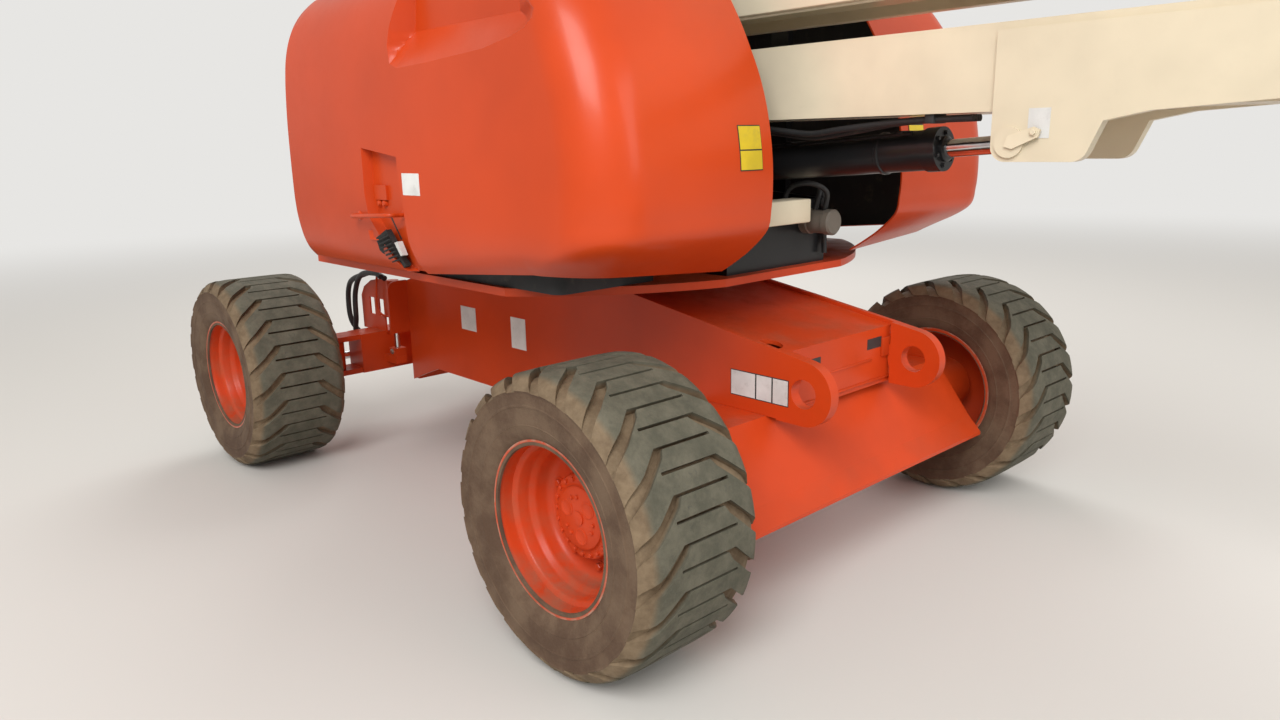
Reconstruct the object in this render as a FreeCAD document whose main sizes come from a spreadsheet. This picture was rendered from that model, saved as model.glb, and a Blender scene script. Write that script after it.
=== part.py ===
import FreeCAD, Part
import math
import os
from types import SimpleNamespace

import Sketcher
from FreeCAD import Placement, Rotation, Vector

# Articulating boom lift, stowed: millimetres and degrees, +Z up, +X towards the platform.
# Places are counted from the swing centre on the ground until piece() adds swing_place().
DOC = FreeCAD.newDocument("boom_lift")
SHEET = DOC.addObject("Spreadsheet::Sheet", "Sizes")

# Each row holds a size's name and its value.
SIZES = (
    # Shared clearances: how far welded pieces run into each other, seats, running fits and moving sides
    ("weld", 1), ("sink", 20), ("seat_gap", 0.3), ("running_gap", 0.06), ("side_gap", 6),
    ("pin_radius", 25),
    # Wheels
    ("wheelbase", 2360), ("wheel_track", 1920), ("tyre_radius", 419), ("tyre_wide", 410),
    ("tread_wide", 350), ("shoulder_radius", 376), ("wall_foot_radius", 312), ("flange_span", 340),
    ("flange_radius", 242), ("flange_thick", 8), ("rim_seat_radius", 224), ("rim_wall", 8),
    ("barrel_mid_radius", 207), ("barrel_mid_place", 118), ("barrel_low_radius", 193),
    ("barrel_low_place", 68), ("disc_place", 5), ("disc_thick", 14), ("hub_radius", 130), ("hub_back", 60),
    ("cover_radius", 118), ("cover_out", 72), ("cover_step", 14), ("cover_inset", 20),
    ("spindle_radius", 40), ("motor_radius", 105), ("tyre_sides", 20), ("groove_inner", 14),
    ("groove_half_wide", 18), ("groove_lean", 62), ("groove_deep", 14), ("groove_tilt", 7),
    ("groove_room", 30),
    # Chassis: reaches and backs are counted from the axle's line
    ("frame_half_wide", 325), ("side_plate_thick", 20), ("frame_bottom", 370), ("frame_top", 894),
    ("frame_end_back", 200), ("frame_end_bottom", 280), ("frame_end_top", 770), ("frame_top_half", 545),
    ("deck_knee_back", 218), ("deck_knee_height", 828), ("deck_end_reach", 112), ("deck_end_height", 773),
    ("deck_drop", 12), ("deck_thick", 12), ("wall_back", 12), ("lug_reach", 202), ("lug_height", 656),
    ("lug_radius", 100), ("lug_hole_radius", 45), ("lug_thick", 38), ("lug_tangent", 80),
    ("heel_back", 440), ("heel_drop_back", 310), ("heel_drop_height", 324), ("cheek_reach", 100),
    ("plate_hole_start", -45), ("plate_hole_long", 172), ("plate_hole_low", 815), ("plate_hole_high", 50),
    ("deck_hole_reach", 25), ("deck_hole_side", 264), ("deck_hole_radius", 40),
    # Drive axle
    ("axle_half_wide", 700), ("axle_back_reach", 220), ("axle_bottom", 300), ("axle_top", 560),
    ("apron_top_reach", 60), ("apron_foot_reach", 210), ("apron_foot_height", 365),
    ("apron_lip_reach", 260), ("apron_lip_height", 312), ("cap_thick", 14), ("cap_rise", 90),
    ("cap_round", 60),
    # Steer axle
    ("kingpin_half_track", 640), ("steer_beam_half_deep", 70), ("steer_beam_half_high", 95),
    ("steer_beam_half_wide", 520), ("fork_reach", 60), ("fork_thick", 25), ("yoke_radius", 58),
    ("yoke_gap", 4), ("neck_radius", 48), ("steer_arm", 170), ("arm_inset", 20), ("arm_half_wide", 28),
    ("arm_thick", 30), ("steer_rod_drop", 48), ("steer_rod_radius", 20), ("steer_barrel_radius", 38),
    ("steer_barrel_half", 210), ("axle_pin_radius", 45), ("hold_inset", 60), ("hold_wide", 30),
    ("rod_eye_gap", 4),
    # Lockout cylinders
    ("lockout_back", 150), ("lockout_half_track", 372), ("lockout_radius", 30), ("lockout_rod_radius", 15),
    ("lockout_top", 772), ("lockout_mid", 520), ("lockout_clevis_top", 440), ("lockout_shelf_top", 400),
    ("lockout_shelf_thick", 35), ("lockout_plate_thick", 15), ("lockout_plate_out", 425),
    ("lockout_plate_round", 45), ("lockout_foot_inset", 30),
    # Slewing ring and turntable
    ("ring_radius", 420), ("ring_inner_radius", 300), ("ring_high", 50), ("table_thick", 25),
    ("table_inset", 35), ("table_front", 1060), ("table_side_inset", 120), ("mast_half_wide", 260),
    ("mast_thick", 20), ("mast_tail_back", 160), ("mast_tail_top", 1490), ("mast_tail_drop", 60),
    ("mast_head_half", 80), ("mast_head_top", 1872), ("mast_head_round", 60), ("mast_foot_ahead", 320),
    ("mast_foot_height", 1420), ("mast_foot_round", 120), ("mast_front", 1020), ("mast_front_height", 1190),
    ("mast_front_rise", 60), ("gusset_back", 150), ("gusset_half", 50), ("gusset_ahead", 110),
    ("gusset_rise", 10), ("weight_inset", 10), ("weight_half_wide", 325), ("weight_top", 1430),
    ("boss_wall", 20),
    # Hoods: backs are counted from the nose
    ("hood_inner", 345), ("hood_outer", 1000), ("hood_side_back", 547), ("hood_bottom", 1000),
    ("hood_top", 1950), ("hood_wall", 8), ("hood_tail_top", 1700), ("hood_tail_slope", 220),
    ("hood_shoulder", 160), ("hood_curl", 50), ("hood_nose", 1273), ("nose_foot_back", 173),
    ("nose_chin_back", 13), ("nose_chin_height", 1139), ("nose_lip_height", 1254), ("nose_brow_back", 30),
    ("nose_brow_height", 1506), ("nose_cheek_back", 87), ("nose_cheek_height", 1646),
    ("nose_crown_back", 164), ("nose_crown_height", 1789), ("nose_top_back", 233), ("scoop_start", 300),
    ("scoop_end", 990), ("scoop_low", 1625), ("scoop_rise", 125), ("scoop_top", 1880), ("scoop_deep", 90),
    ("scoop_round", 40), ("latch_start", 60), ("latch_wide", 130), ("latch_slant", 85), ("latch_top", 1385),
    ("latch_deep", 34), ("hinge_inset", 12), ("hinge_drop", 15), ("hinge_radius", 11),
    ("hinge_pin_radius", 6), ("hinge_half", 25), ("hinge_lug", 12), ("hinge_back", -620),
    ("hinge_front", 760), ("hinge_post_deep", 28), ("hinge_ear", 20),
    # Engine and tanks
    ("engine_long", 760), ("engine_place", -60), ("engine_inset", 105), ("engine_outset", 130),
    ("engine_high", 520), ("tank_start_back", 43), ("oil_tank_long", 520), ("tank_gap", 280),
    ("fuel_tank_long", 700), ("tank_inset", 115), ("tank_outset", 140), ("oil_tank_high", 470),
    ("fuel_tank_high", 420), ("tank_corner", 40),
    # Tower of risers and links
    ("tail_pivot", -800), ("riser_long", 3500), ("lower_pivot_height", 1562), ("lower_link_rise", 243),
    ("upper_pivot_height", 1950), ("riser_half_wide", 150), ("riser_high", 215), ("beam_wall", 8),
    ("riser_end_radius", 90), ("doubler_start", 1830), ("doubler_thick", 16), ("doubler_inset", 20),
    ("lobe_bottom", 1330), ("lobe_end", 2200), ("lobe_lip", 10), ("lobe_slope_long", 100),
    ("lobe_slope_drop", 30), ("lobe_foot_long", 140), ("lobe_round", 40), ("pin_head_radius", 38),
    ("pin_head_out", 8), ("link_inner", 175), ("link_outer", 215), ("link_half_high", 44),
    ("upright_plate_inner", 220), ("upright_plate_outer", 240), ("mid_plate_bottom", 1450),
    ("mid_plate_top", 2030), ("mid_plate_half", 135), ("mid_plate_round", 50), ("mid_web_rise", 120),
    ("mid_web_high", 210), ("twin_inner", 90), ("twin_outer", 165), ("twin_half_high", 85),
    ("twin_bridge_start", 420), ("twin_bridge_end", 2450), ("bridge_thick", 20),
    ("upper_link_half_wide", 50), ("upper_link_half_high", 30), ("upper_link_rim", 8), ("cheek_inner", 62),
    ("cheek_outer", 82), ("cheek_foot", 45), ("cheek_back", 60), ("cheek_ahead", 50), ("ear_inner", 92),
    ("ear_outer", 112), ("ear_bottom", 2040), ("ear_radius", 60), ("ear_ledge", 5),
    # Booms
    ("boom_pivot", -950), ("boom_pivot_height", 2150), ("boom_half_high", 100), ("boom_half_wide", 80),
    ("boom_wall", 8), ("boom_front", 2785), ("collar_long", 90), ("collar_out", 8),
    ("boom_boss_radius", 50), ("lift_lug_foot", 120), ("lift_lug_head", 40), ("lift_lug_drop", 34),
    ("lift_lug_thick", 16), ("fly_half_high", 80), ("fly_half_wide", 60), ("fly_tail", 200),
    ("fly_neck", 2850), ("nose_pivot", 2940), ("nose_radius", 45), ("pad_long", 120), ("pad_half_high", 40),
    ("pad_half_wide", 30), ("pad_back", 200),
    # Cylinders
    ("tower_base_place", 300), ("tower_base_height", 1276), ("tower_eye_place", 1880),
    ("tower_eye_height", 1378), ("tower_barrel_radius", 58), ("tower_rod_radius", 25),
    ("tower_barrel_long", 1315), ("tower_eye_radius", 42), ("lift_base_place", -650),
    ("lift_base_drop", 45), ("lift_eye_place", 250), ("lift_eye_drop", 38), ("lift_barrel_radius", 42),
    ("lift_rod_radius", 20), ("lift_barrel_long", 720), ("lift_eye_radius", 32),
    ("cylinder_pin_radius", 20), ("cylinder_eye_half", 38), ("gland_out", 5), ("gland_long", 45),
    ("barrel_floor", 30),
    # Jib
    ("jib_place", 3055), ("jib_height", 2040), ("jib_long", 1240), ("jib_angle", -61), ("jib_offset", 210),
    ("jib_offset_angle", -78.5), ("jib_tube_inner", 42), ("jib_tube_outer", 80), ("jib_half_high", 40),
    ("jib_cover_thick", 8), ("jib_end_radius", 45), ("jib_link_inner", 88), ("jib_link_outer", 100),
    ("jib_link_half_high", 22), ("jib_link_rim", 6), ("knuckle_inner", 106), ("knuckle_outer", 122),
    ("knuckle_round", 20), ("knuckle_rim", 20), ("nose_boss_radius", 38), ("jib_eye_reach", 980),
    ("jib_barrel_radius", 28), ("jib_rod_radius", 14), ("jib_barrel_long", 520), ("jib_eye_radius", 26),
    ("jib_eye_half", 30), ("jib_pin_radius", 15),
    # Platform
    ("rotator_place", 3800), ("rotator_radius", 75), ("rotator_low", 690), ("rotator_high", 1010),
    ("mount_web_back", 5), ("mount_web_thick", 20), ("mount_rim", 20), ("platform_gap", 150),
    ("platform_long", 910), ("platform_wide", 1830), ("floor_height", 450), ("floor_thick", 30),
    ("toe_high", 150), ("toe_thick", 4), ("panel_rise", 3), ("rail_top", 1550), ("rail_mid", 1000),
    ("rail_radius", 17), ("rail_bend", 45), ("post_radius", 15), ("mid_rail_radius", 13),
    ("gate_start", 110), ("gate_long", 640), ("gate_gap", 8), ("gate_post_gap", 20),
    ("gate_bar_radius", 12), ("gate_post_radius", 14), ("gate_low", 60), ("gate_collar_radius", 24),
    ("gate_collar_low", 700), ("gate_collar_high", 1350), ("gate_collar_tall", 40), ("gate_head_drop", 59),
    ("arm_half_wide_platform", 60), ("arm_thick_platform", 19), ("back_plate_half", 150),
    ("back_plate_thick", 20), ("console_drop", 60), ("console_lip", 140), ("console_high", 260),
    ("console_deep", 170), ("console_wide", 420),
)


class Size:
    """A number that also knows the expression which ties it to the sheet."""

    def __init__(self, value, text):
        self.value = float(value)
        self.text = text

    def joined(self, other, sign, value):
        return Size(value, "(%s %s %s)" % (self.text, sign, other.text))

    def __add__(self, other):
        other = as_size(other)
        return self.joined(other, "+", self.value + other.value)

    def __radd__(self, other):
        return as_size(other) + self

    def __sub__(self, other):
        other = as_size(other)
        return self.joined(other, "-", self.value - other.value)

    def __rsub__(self, other):
        return as_size(other) - self

    def __mul__(self, other):
        other = as_size(other)
        return self.joined(other, "*", self.value * other.value)

    def __rmul__(self, other):
        return as_size(other) * self

    def __truediv__(self, other):
        other = as_size(other)
        return self.joined(other, "/", self.value / other.value)

    def __neg__(self):
        return as_size(0) - self


def as_size(number):
    return number if isinstance(number, Size) else Size(number, "(%r)" % number)


def cosine(angle):
    angle = as_size(angle)
    return Size(math.cos(math.radians(angle.value)), "cos(%s)" % angle.text)


def sine(angle):
    angle = as_size(angle)
    return Size(math.sin(math.radians(angle.value)), "sin(%s)" % angle.text)


def root(number):
    return Size(math.sqrt(number.value), "sqrt(%s)" % number.text)


def fill_sheet():
    """Write every driving size to the sheet and give back the sizes by name."""
    sizes = {}
    for row, (name, number) in enumerate(SIZES, start=1):
        SHEET.set("A%d" % row, name)
        SHEET.set("B%d" % row, str(number))
        SHEET.setAlias("B%d" % row, name)
        sizes[name] = Size(number, "Sizes." + name)
    DOC.recompute()
    return SimpleNamespace(**sizes)


def derive():
    """Places that follow from the driving sizes."""
    S.axle = S.wheelbase / 2
    S.frame_end = S.axle - S.frame_end_back
    S.deck_knee = S.axle - S.deck_knee_back
    S.deck_end = S.axle + S.deck_end_reach
    S.lug_place = S.axle + S.lug_reach
    S.heel_place = S.axle - S.heel_back
    S.heel_drop_place = S.axle - S.heel_drop_back
    S.cheek_end = S.axle + S.cheek_reach
    S.axle_back = S.axle - S.axle_back_reach
    S.apron_top = S.axle + S.apron_top_reach
    S.apron_foot = S.axle + S.apron_foot_reach
    S.apron_lip = S.axle + S.apron_lip_reach
    S.lockout_place = S.axle - S.lockout_back
    S.lockout_plate_back = S.frame_end
    S.hood_tail_radius = root(S.hood_outer * S.hood_outer + S.hood_side_back * S.hood_side_back)
    S.table_radius = S.hood_tail_radius - S.table_inset
    S.table_half_wide = S.hood_outer - S.table_side_inset
    S.weight_radius = S.hood_tail_radius - S.weight_inset
    S.mast_tail = S.mast_tail_back - S.tail_pivot
    S.tower_top = S.tail_pivot + S.riser_long
    S.lift_base_height = S.upper_pivot_height - S.lift_base_drop
    S.lift_eye_height = S.boom_pivot_height - S.boom_half_high - S.lift_eye_drop


S = fill_sheet()
derive()
PIECES = []
PLANE_ROLES = {"xy": "XY_Plane", "xz": "XZ_Plane", "yz": "YZ_Plane"}
TURNS = {"x": Rotation(Vector(0, 1, 0), 90), "y": Rotation(Vector(1, 0, 0), -90), "z": Rotation()}
LEFT = 1
RIGHT = -1
SIDES = (("left", LEFT), ("right", RIGHT))


def bind(thing, name, size):
    """Tie one property to the sheet."""
    thing.setExpression(name, as_size(size).text)


def around(centre, half):
    return (centre - half, centre + half)


def sided(side, near, far):
    """A span from near to far on the left or the right of the middle plane."""
    return (near, far) if side == LEFT else (-as_size(far), -as_size(near))


def both(half):
    return (-as_size(half), half)


def rectangle(u, w):
    return [(u[0], w[0]), (u[1], w[0]), (u[1], w[1]), (u[0], w[1])]


def block(x, y, z):
    """A block between pairs of places along X, Y and Z."""
    made = DOC.addObject("Part::Box", "Block")
    for side, span, axis in (("Length", x, "x"), ("Width", y, "y"), ("Height", z, "z")):
        bind(made, side, as_size(span[1]) - span[0])
        bind(made, "Placement.Base." + axis, span[0])
    return made


def rod(axis, centre, radius, span):
    """A round bar along an axis, from its centre in the two other axes, its radius and its span."""
    made = DOC.addObject("Part::Cylinder", "Rod")
    made.Placement = Placement(Vector(), TURNS[axis])
    bind(made, "Radius", radius)
    bind(made, "Height", as_size(span[1]) - span[0])
    places = dict(zip([word for word in "xyz" if word != axis], centre))
    places[axis] = span[0]
    for word in "xyz":
        bind(made, "Placement.Base." + word, places[word])
    return made


def bend(centre, sweep, radius, quarter):
    """A quarter of a bent tube lying flat: its centre, the bend's radius, the tube's and which quarter."""
    made = DOC.addObject("Part::Torus", "Bend")
    made.Angle3 = 90
    made.Placement = Placement(Vector(), Rotation(Vector(0, 0, 1), 90 * quarter))
    bind(made, "Radius1", sweep)
    bind(made, "Radius2", radius)
    for word, place in zip("xyz", centre):
        bind(made, "Placement.Base." + word, place)
    return made


def origin_feature(body, role):
    return [feature for feature in body.Origin.OriginFeatures if feature.Role == role][0]


def new_sketch(body, plane, offset):
    sketch = body.newObject("Sketcher::SketchObject", "Outline")
    sketch.AttachmentSupport = [(origin_feature(body, PLANE_ROLES[plane]), "")]
    sketch.MapMode = "FlatFace"
    bind(sketch, "AttachmentOffset.Base.z", offset)
    return sketch


def pin_point(sketch, geometry, point, place):
    """Tie one point of the sketch to its two distances from the origin."""
    for kind, size in zip(("DistanceX", "DistanceY"), place):
        size = as_size(size)
        index = sketch.addConstraint(Sketcher.Constraint(kind, -1, 1, geometry, point, size.value))
        sketch.setExpression("Constraints[%d]" % index, size.text)


def draw_outline(sketch, outline):
    corners = [Vector(as_size(u).value, as_size(w).value, 0) for u, w in outline]
    last = len(corners) - 1
    lines = [sketch.addGeometry(Part.LineSegment(corner, corners[(place + 1) % len(corners)]))
             for place, corner in enumerate(corners)]
    for place in range(len(corners)):
        following = lines[place + 1] if place < last else lines[0]
        sketch.addConstraint(Sketcher.Constraint("Coincident", lines[place], 2, following, 1))
    for line, corner in zip(lines, outline):
        pin_point(sketch, line, 1, corner)


def corner_edges(shape, plane, corners):
    """Names of the edges that stand on the given corners of a plate's outline."""
    names = []
    for number, edge in enumerate(shape.Edges, start=1):
        ends = [tuple(getattr(vertex.Point, word) for word in plane) for vertex in edge.Vertexes]
        for corner in corners:
            place = [as_size(size).value for size in corner]
            if len(ends) == 2 and all(math.dist(end, place) < 0.01 for end in ends):
                names.append("Edge%d" % number)
    return names


def plate(plane, outline, span, rounds=()):
    """A plate: an outline on a plane, carried over a span, with rounded corners
    (radius, places of the corners in the outline)."""
    body = DOC.addObject("PartDesign::Body", "Plate")
    start = -as_size(span[1]) if plane == "xz" else span[0]
    sketch = new_sketch(body, plane, start)
    draw_outline(sketch, outline)
    tip = body.newObject("PartDesign::Pad", "Pad")
    tip.Profile = sketch
    bind(tip, "Length", as_size(span[1]) - span[0])
    DOC.recompute()
    for radius, places in rounds:
        rounded = body.newObject("PartDesign::Fillet", "Round")
        rounded.Base = (tip, corner_edges(tip.Shape, plane, [outline[place] for place in places]))
        bind(rounded, "Radius", radius)
        tip = rounded
        DOC.recompute()
    return body


def ring(outline):
    """A turned piece about the Y axis, from points (radius, place along Y)."""
    body = DOC.addObject("PartDesign::Body", "Ring")
    sketch = new_sketch(body, "xy", 0)
    draw_outline(sketch, outline)
    turned = body.newObject("PartDesign::Revolution", "Revolution")
    turned.Profile = sketch
    turned.ReferenceAxis = (sketch, ["V_Axis"])
    turned.Angle = 360
    return body


def fuse(*parts):
    made = DOC.addObject("Part::MultiFuse", "Joined")
    made.Shapes = list(parts)
    made.Refine = True
    return made


def cut(base, *tools):
    made = DOC.addObject("Part::Cut", "Cut")
    made.Base = base
    made.Tool = tools[0] if len(tools) == 1 else fuse(*tools)
    return made


def common(*parts):
    made = DOC.addObject("Part::MultiCommon", "Common")
    made.Shapes = list(parts)
    return made


def piece(name, thing, at=(0, 0, 0), turn=None):
    """Name a finished piece and put it in its place, turned where it stands at an angle."""
    thing.Label = name
    if turn is not None:
        thing.Placement = Placement(Vector(), turn)
    bind(thing, "Placement.Base.x", swing_place() + at[0])
    bind(thing, "Placement.Base.y", at[1])
    bind(thing, "Placement.Base.z", at[2])
    PIECES.append(thing)
    return thing


def swing_place():
    """The swing centre's X in the row frame, whose origin is the middle of the stowed length."""
    platform_end = S.rotator_place + S.platform_gap + S.platform_long
    tail_end = -(S.axle + S.tyre_radius)
    return -(platform_end + tail_end) / 2


def tilt(angle):
    """A rotation that lifts +X towards +Z."""
    return Rotation(Vector(0, -1, 0), angle)


def hollow_beam(x, y, z, wall):
    """A square tube with end plates and a drain hole in its tail."""
    inside = block((x[0] + wall, x[1] - wall), (y[0] + wall, y[1] - wall), (z[0] + wall, z[1] - wall))
    drain = rod("x", ((y[0] + y[1]) / 2, (z[0] + z[1]) / 2), 2 * wall, (x[0] - wall, x[0] + 2 * wall))
    return cut(block(x, y, z), inside, drain)


# Wheels


def faceted(rows):
    """The outside of a ring about the Y axis with flat sides,
    from rows (radius to its flats, place along Y)."""
    sections = []
    for radius, place in rows:
        outline = DOC.addObject("Part::RegularPolygon", "Section")
        half_side = Rotation(Vector(0, 0, 1), 180 / S.tyre_sides.value)
        outline.Placement = Placement(Vector(), TURNS["y"] * half_side)
        bind(outline, "Polygon", S.tyre_sides)
        bind(outline, "Circumradius", radius / cosine(as_size(180) / S.tyre_sides))
        bind(outline, "Placement.Base.y", place)
        sections.append(outline)
    made = DOC.addObject("Part::Loft", "Facets")
    made.Sections = sections
    made.Solid = True
    made.Ruled = True
    return made


def cut_grooves(body, side, turn):
    """Slanted grooves across one half of the tread, turned about the axle from the wheel's top."""
    reach = S.tyre_wide / 2 + S.sink
    lean = S.groove_lean
    half = S.groove_half_wide
    inner, outer = S.groove_inner * side, reach * side
    height = S.tyre_radius + S.groove_room
    sketch = new_sketch(body, "xy", height * cosine(turn))
    tip_over = Rotation(Vector(1, 0, 0), -side * S.groove_tilt.value)
    sketch.AttachmentOffset = Placement(Vector(), Rotation(Vector(0, 1, 0), turn.value) * tip_over)
    bind(sketch, "AttachmentOffset.Base.x", height * sine(turn))
    draw_outline(sketch, [(lean - half, inner), (lean + half, inner),
                          (half - lean, outer), (-lean - half, outer)])
    groove = body.newObject("PartDesign::Pocket", "Groove")
    groove.Profile = sketch
    bind(groove, "Length", S.groove_room + S.groove_deep)
    DOC.recompute()
    around_axle = body.newObject("PartDesign::PolarPattern", "Grooves")
    around_axle.Originals = [groove]
    around_axle.Axis = (origin_feature(body, "Y_Axis"), [""])
    around_axle.Angle = 360
    bind(around_axle, "Occurrences", S.tyre_sides)
    body.Tip = around_axle


def tyre():
    """A lugged tyre: a flat-sided ring with dished walls,
    and grooves from each shoulder, half a pitch apart."""
    bead = S.flange_span / 2 - S.seat_gap
    half = S.tyre_wide / 2
    tread = S.tread_wide / 2
    right = [(S.tyre_radius, tread), (S.shoulder_radius, half)]
    left = [(radius, -place) for radius, place in reversed(right)]
    bore = S.rim_seat_radius + S.seat_gap
    over_flange = S.flange_radius + S.seat_gap
    hollows = [faceted([(bore, -half - S.weld), (bore, half + S.weld)])]
    for _, side in SIDES:
        hollows.append(faceted([(over_flange, side * bead), (S.wall_foot_radius, side * half),
                                (S.wall_foot_radius, side * (half + S.weld))]))
    body = DOC.addObject("PartDesign::Body", "Tyre")
    body.BaseFeature = cut(faceted(left + right), *hollows)
    DOC.recompute()
    cut_grooves(body, LEFT, as_size(0))
    cut_grooves(body, RIGHT, as_size(180) / S.tyre_sides)
    return body


def rim_outline():
    flange = S.flange_span / 2
    lip = flange + S.flange_thick
    inner = S.rim_seat_radius - S.rim_wall
    disc_out = S.disc_place + S.disc_thick
    bore = S.spindle_radius + S.running_gap
    return [(S.flange_radius, -lip), (S.flange_radius, -flange), (S.rim_seat_radius, -flange),
            (S.rim_seat_radius, flange), (S.flange_radius, flange), (S.flange_radius, lip), (inner, lip),
            (inner, S.barrel_mid_place), (S.barrel_mid_radius, S.barrel_mid_place),
            (S.barrel_mid_radius, S.barrel_low_place), (S.barrel_low_radius, S.barrel_low_place),
            (S.barrel_low_radius, disc_out), (S.cover_radius, disc_out),
            (S.cover_radius, S.cover_out - S.cover_step), (S.cover_radius - S.cover_inset, S.cover_out),
            (0, S.cover_out), (0, S.disc_place), (bore, S.disc_place), (bore, -S.hub_back),
            (S.hub_radius, -S.hub_back), (S.hub_radius, S.disc_place), (inner, S.disc_place), (inner, -lip)]


def make_wheels():
    for end, x in (("drive", S.axle), ("steer", -S.axle)):
        for word, side in SIDES:
            place = (x, side * S.wheel_track / 2, S.tyre_radius)
            outward = None if side == LEFT else Rotation(Vector(0, 0, 1), 180)
            piece("tyre_%s_%s" % (end, word), tyre(), place)
            piece("rim_%s_%s" % (end, word), ring(rim_outline()), place, outward)


# Chassis


def side_plate(side):
    outer = S.frame_half_wide
    lug = (S.lug_place, S.lug_height)
    tangent = (lug[0] + S.lug_radius * cosine(S.lug_tangent), lug[1] + S.lug_radius * sine(S.lug_tangent))
    lug_bottom = S.lug_height - S.lug_radius
    over_axle = S.axle_top + S.seat_gap
    heel = S.axle_back - S.seat_gap
    outline = [(-S.frame_end, S.frame_end_bottom), (-S.frame_end, S.frame_end_top),
               (-S.frame_top_half, S.frame_top), (S.frame_top_half, S.frame_top),
               (S.deck_knee, S.deck_knee_height), (S.deck_end, S.deck_end_height), tangent, lug,
               (S.lug_place, lug_bottom), (S.cheek_end, lug_bottom), (S.cheek_end, over_axle),
               (heel, over_axle), (heel, S.frame_bottom), (-S.heel_place, S.frame_bottom),
               (-S.heel_drop_place, S.heel_drop_height)]
    doubler = [(S.deck_end, lug_bottom), (S.deck_end, S.deck_end_height), tangent, lug,
               (S.lug_place, lug_bottom)]
    thick = sided(side, outer - S.lug_thick, outer)
    through = sided(side, outer - 2 * S.lug_thick, outer + S.lug_thick)
    window = block((S.plate_hole_start, S.plate_hole_start + S.plate_hole_long), through,
                   (S.plate_hole_low, S.plate_hole_low + S.plate_hole_high))
    return cut(fuse(plate("xz", outline, sided(side, outer - S.side_plate_thick, outer)),
                    plate("xz", doubler, thick), rod("y", lug, S.lug_radius, thick)),
               rod("y", lug, S.lug_hole_radius, through), window)


def deck():
    drop = S.deck_drop
    thick = drop + S.deck_thick
    wall = S.deck_end - S.wall_back
    end = S.frame_end - S.side_plate_thick
    top = [(-end, S.frame_end_top - drop), (-S.frame_top_half, S.frame_top - drop),
           (S.frame_top_half, S.frame_top - drop), (S.deck_knee, S.deck_knee_height - drop),
           (wall, S.deck_end_height - drop)]
    under = [(-end, S.frame_end_top - thick), (-S.frame_top_half, S.frame_top - thick),
             (S.frame_top_half, S.frame_top - thick), (S.deck_knee, S.deck_knee_height - thick),
             (wall - S.deck_thick, S.deck_end_height - thick)]
    foot = S.axle_top + S.seat_gap
    outline = top + [(wall, foot), (wall - S.deck_thick, foot)] + under[::-1]
    hole = rod("z", (S.axle + S.deck_hole_reach, -S.deck_hole_side), S.deck_hole_radius,
               (foot, S.frame_top))
    return cut(plate("xz", outline, both(S.frame_half_wide - S.side_plate_thick)), hole)


def lockout_plate(side):
    """The bracket that carries a lockout cylinder, its top outer corner rounded."""
    outline = rectangle(sided(side, S.frame_half_wide - S.weld, S.lockout_plate_out),
                        (S.lockout_mid, S.lockout_top))
    outer_top = 2 if side == LEFT else 3
    span = (-(S.lockout_plate_back + S.lockout_plate_thick), -S.lockout_plate_back)
    return plate("yz", outline, span, rounds=((S.lockout_plate_round, (outer_top,)),))


def make_chassis():
    inner = S.frame_half_wide - S.side_plate_thick
    floor = block((-S.heel_place, S.axle_back - S.seat_gap), both(inner),
                  (S.frame_bottom, S.frame_bottom + S.deck_thick))
    end_wall = block((-S.frame_end, S.side_plate_thick - S.frame_end), both(inner),
                     (S.frame_end_bottom, S.frame_end_top - S.deck_drop))
    pad = rod("z", (0, 0), S.ring_radius, (S.frame_top - S.deck_drop, S.frame_top))
    plates = [side_plate(side) for _, side in SIDES] + [lockout_plate(side) for _, side in SIDES]
    piece("chassis_frame", fuse(deck(), floor, end_wall, pad, *plates))


def drive_axle_outline():
    return [(S.axle_back, S.axle_bottom), (S.axle_back, S.axle_top), (S.apron_top, S.axle_top),
            (S.apron_foot, S.apron_foot_height), (S.apron_lip, S.apron_lip_height),
            (S.apron_lip, S.axle_bottom)]


def spindle(side, start, x, z):
    """The still part of a hub drive: the motor and the spindle that the wheel turns on."""
    hub_inner = S.wheel_track / 2 - S.hub_back
    motor = rod("y", (x, z), S.motor_radius, sided(side, start, hub_inner - S.weld))
    shaft = rod("y", (x, z), S.spindle_radius, sided(side, start, S.wheel_track / 2 + S.disc_place - S.weld))
    return (motor, shaft)


def axle_cap(side):
    """The end plate of the drive axle, which stands above the beam with round corners."""
    outline = rectangle((S.axle_back, S.apron_top), (S.axle_bottom, S.axle_top + S.cap_rise))
    span = sided(side, S.axle_half_wide - S.cap_thick, S.axle_half_wide)
    return plate("xz", outline, span, rounds=((S.cap_round, (2, 3)),))


def make_drive_axle():
    beam = plate("xz", drive_axle_outline(), both(S.axle_half_wide))
    ends = []
    for _, side in SIDES:
        ends.append(axle_cap(side))
        ends += spindle(side, S.axle_half_wide - S.sink, S.axle, S.tyre_radius)
    piece("drive_axle", fuse(beam, *ends))


def rod_height():
    return S.tyre_radius - S.steer_rod_drop


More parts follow.
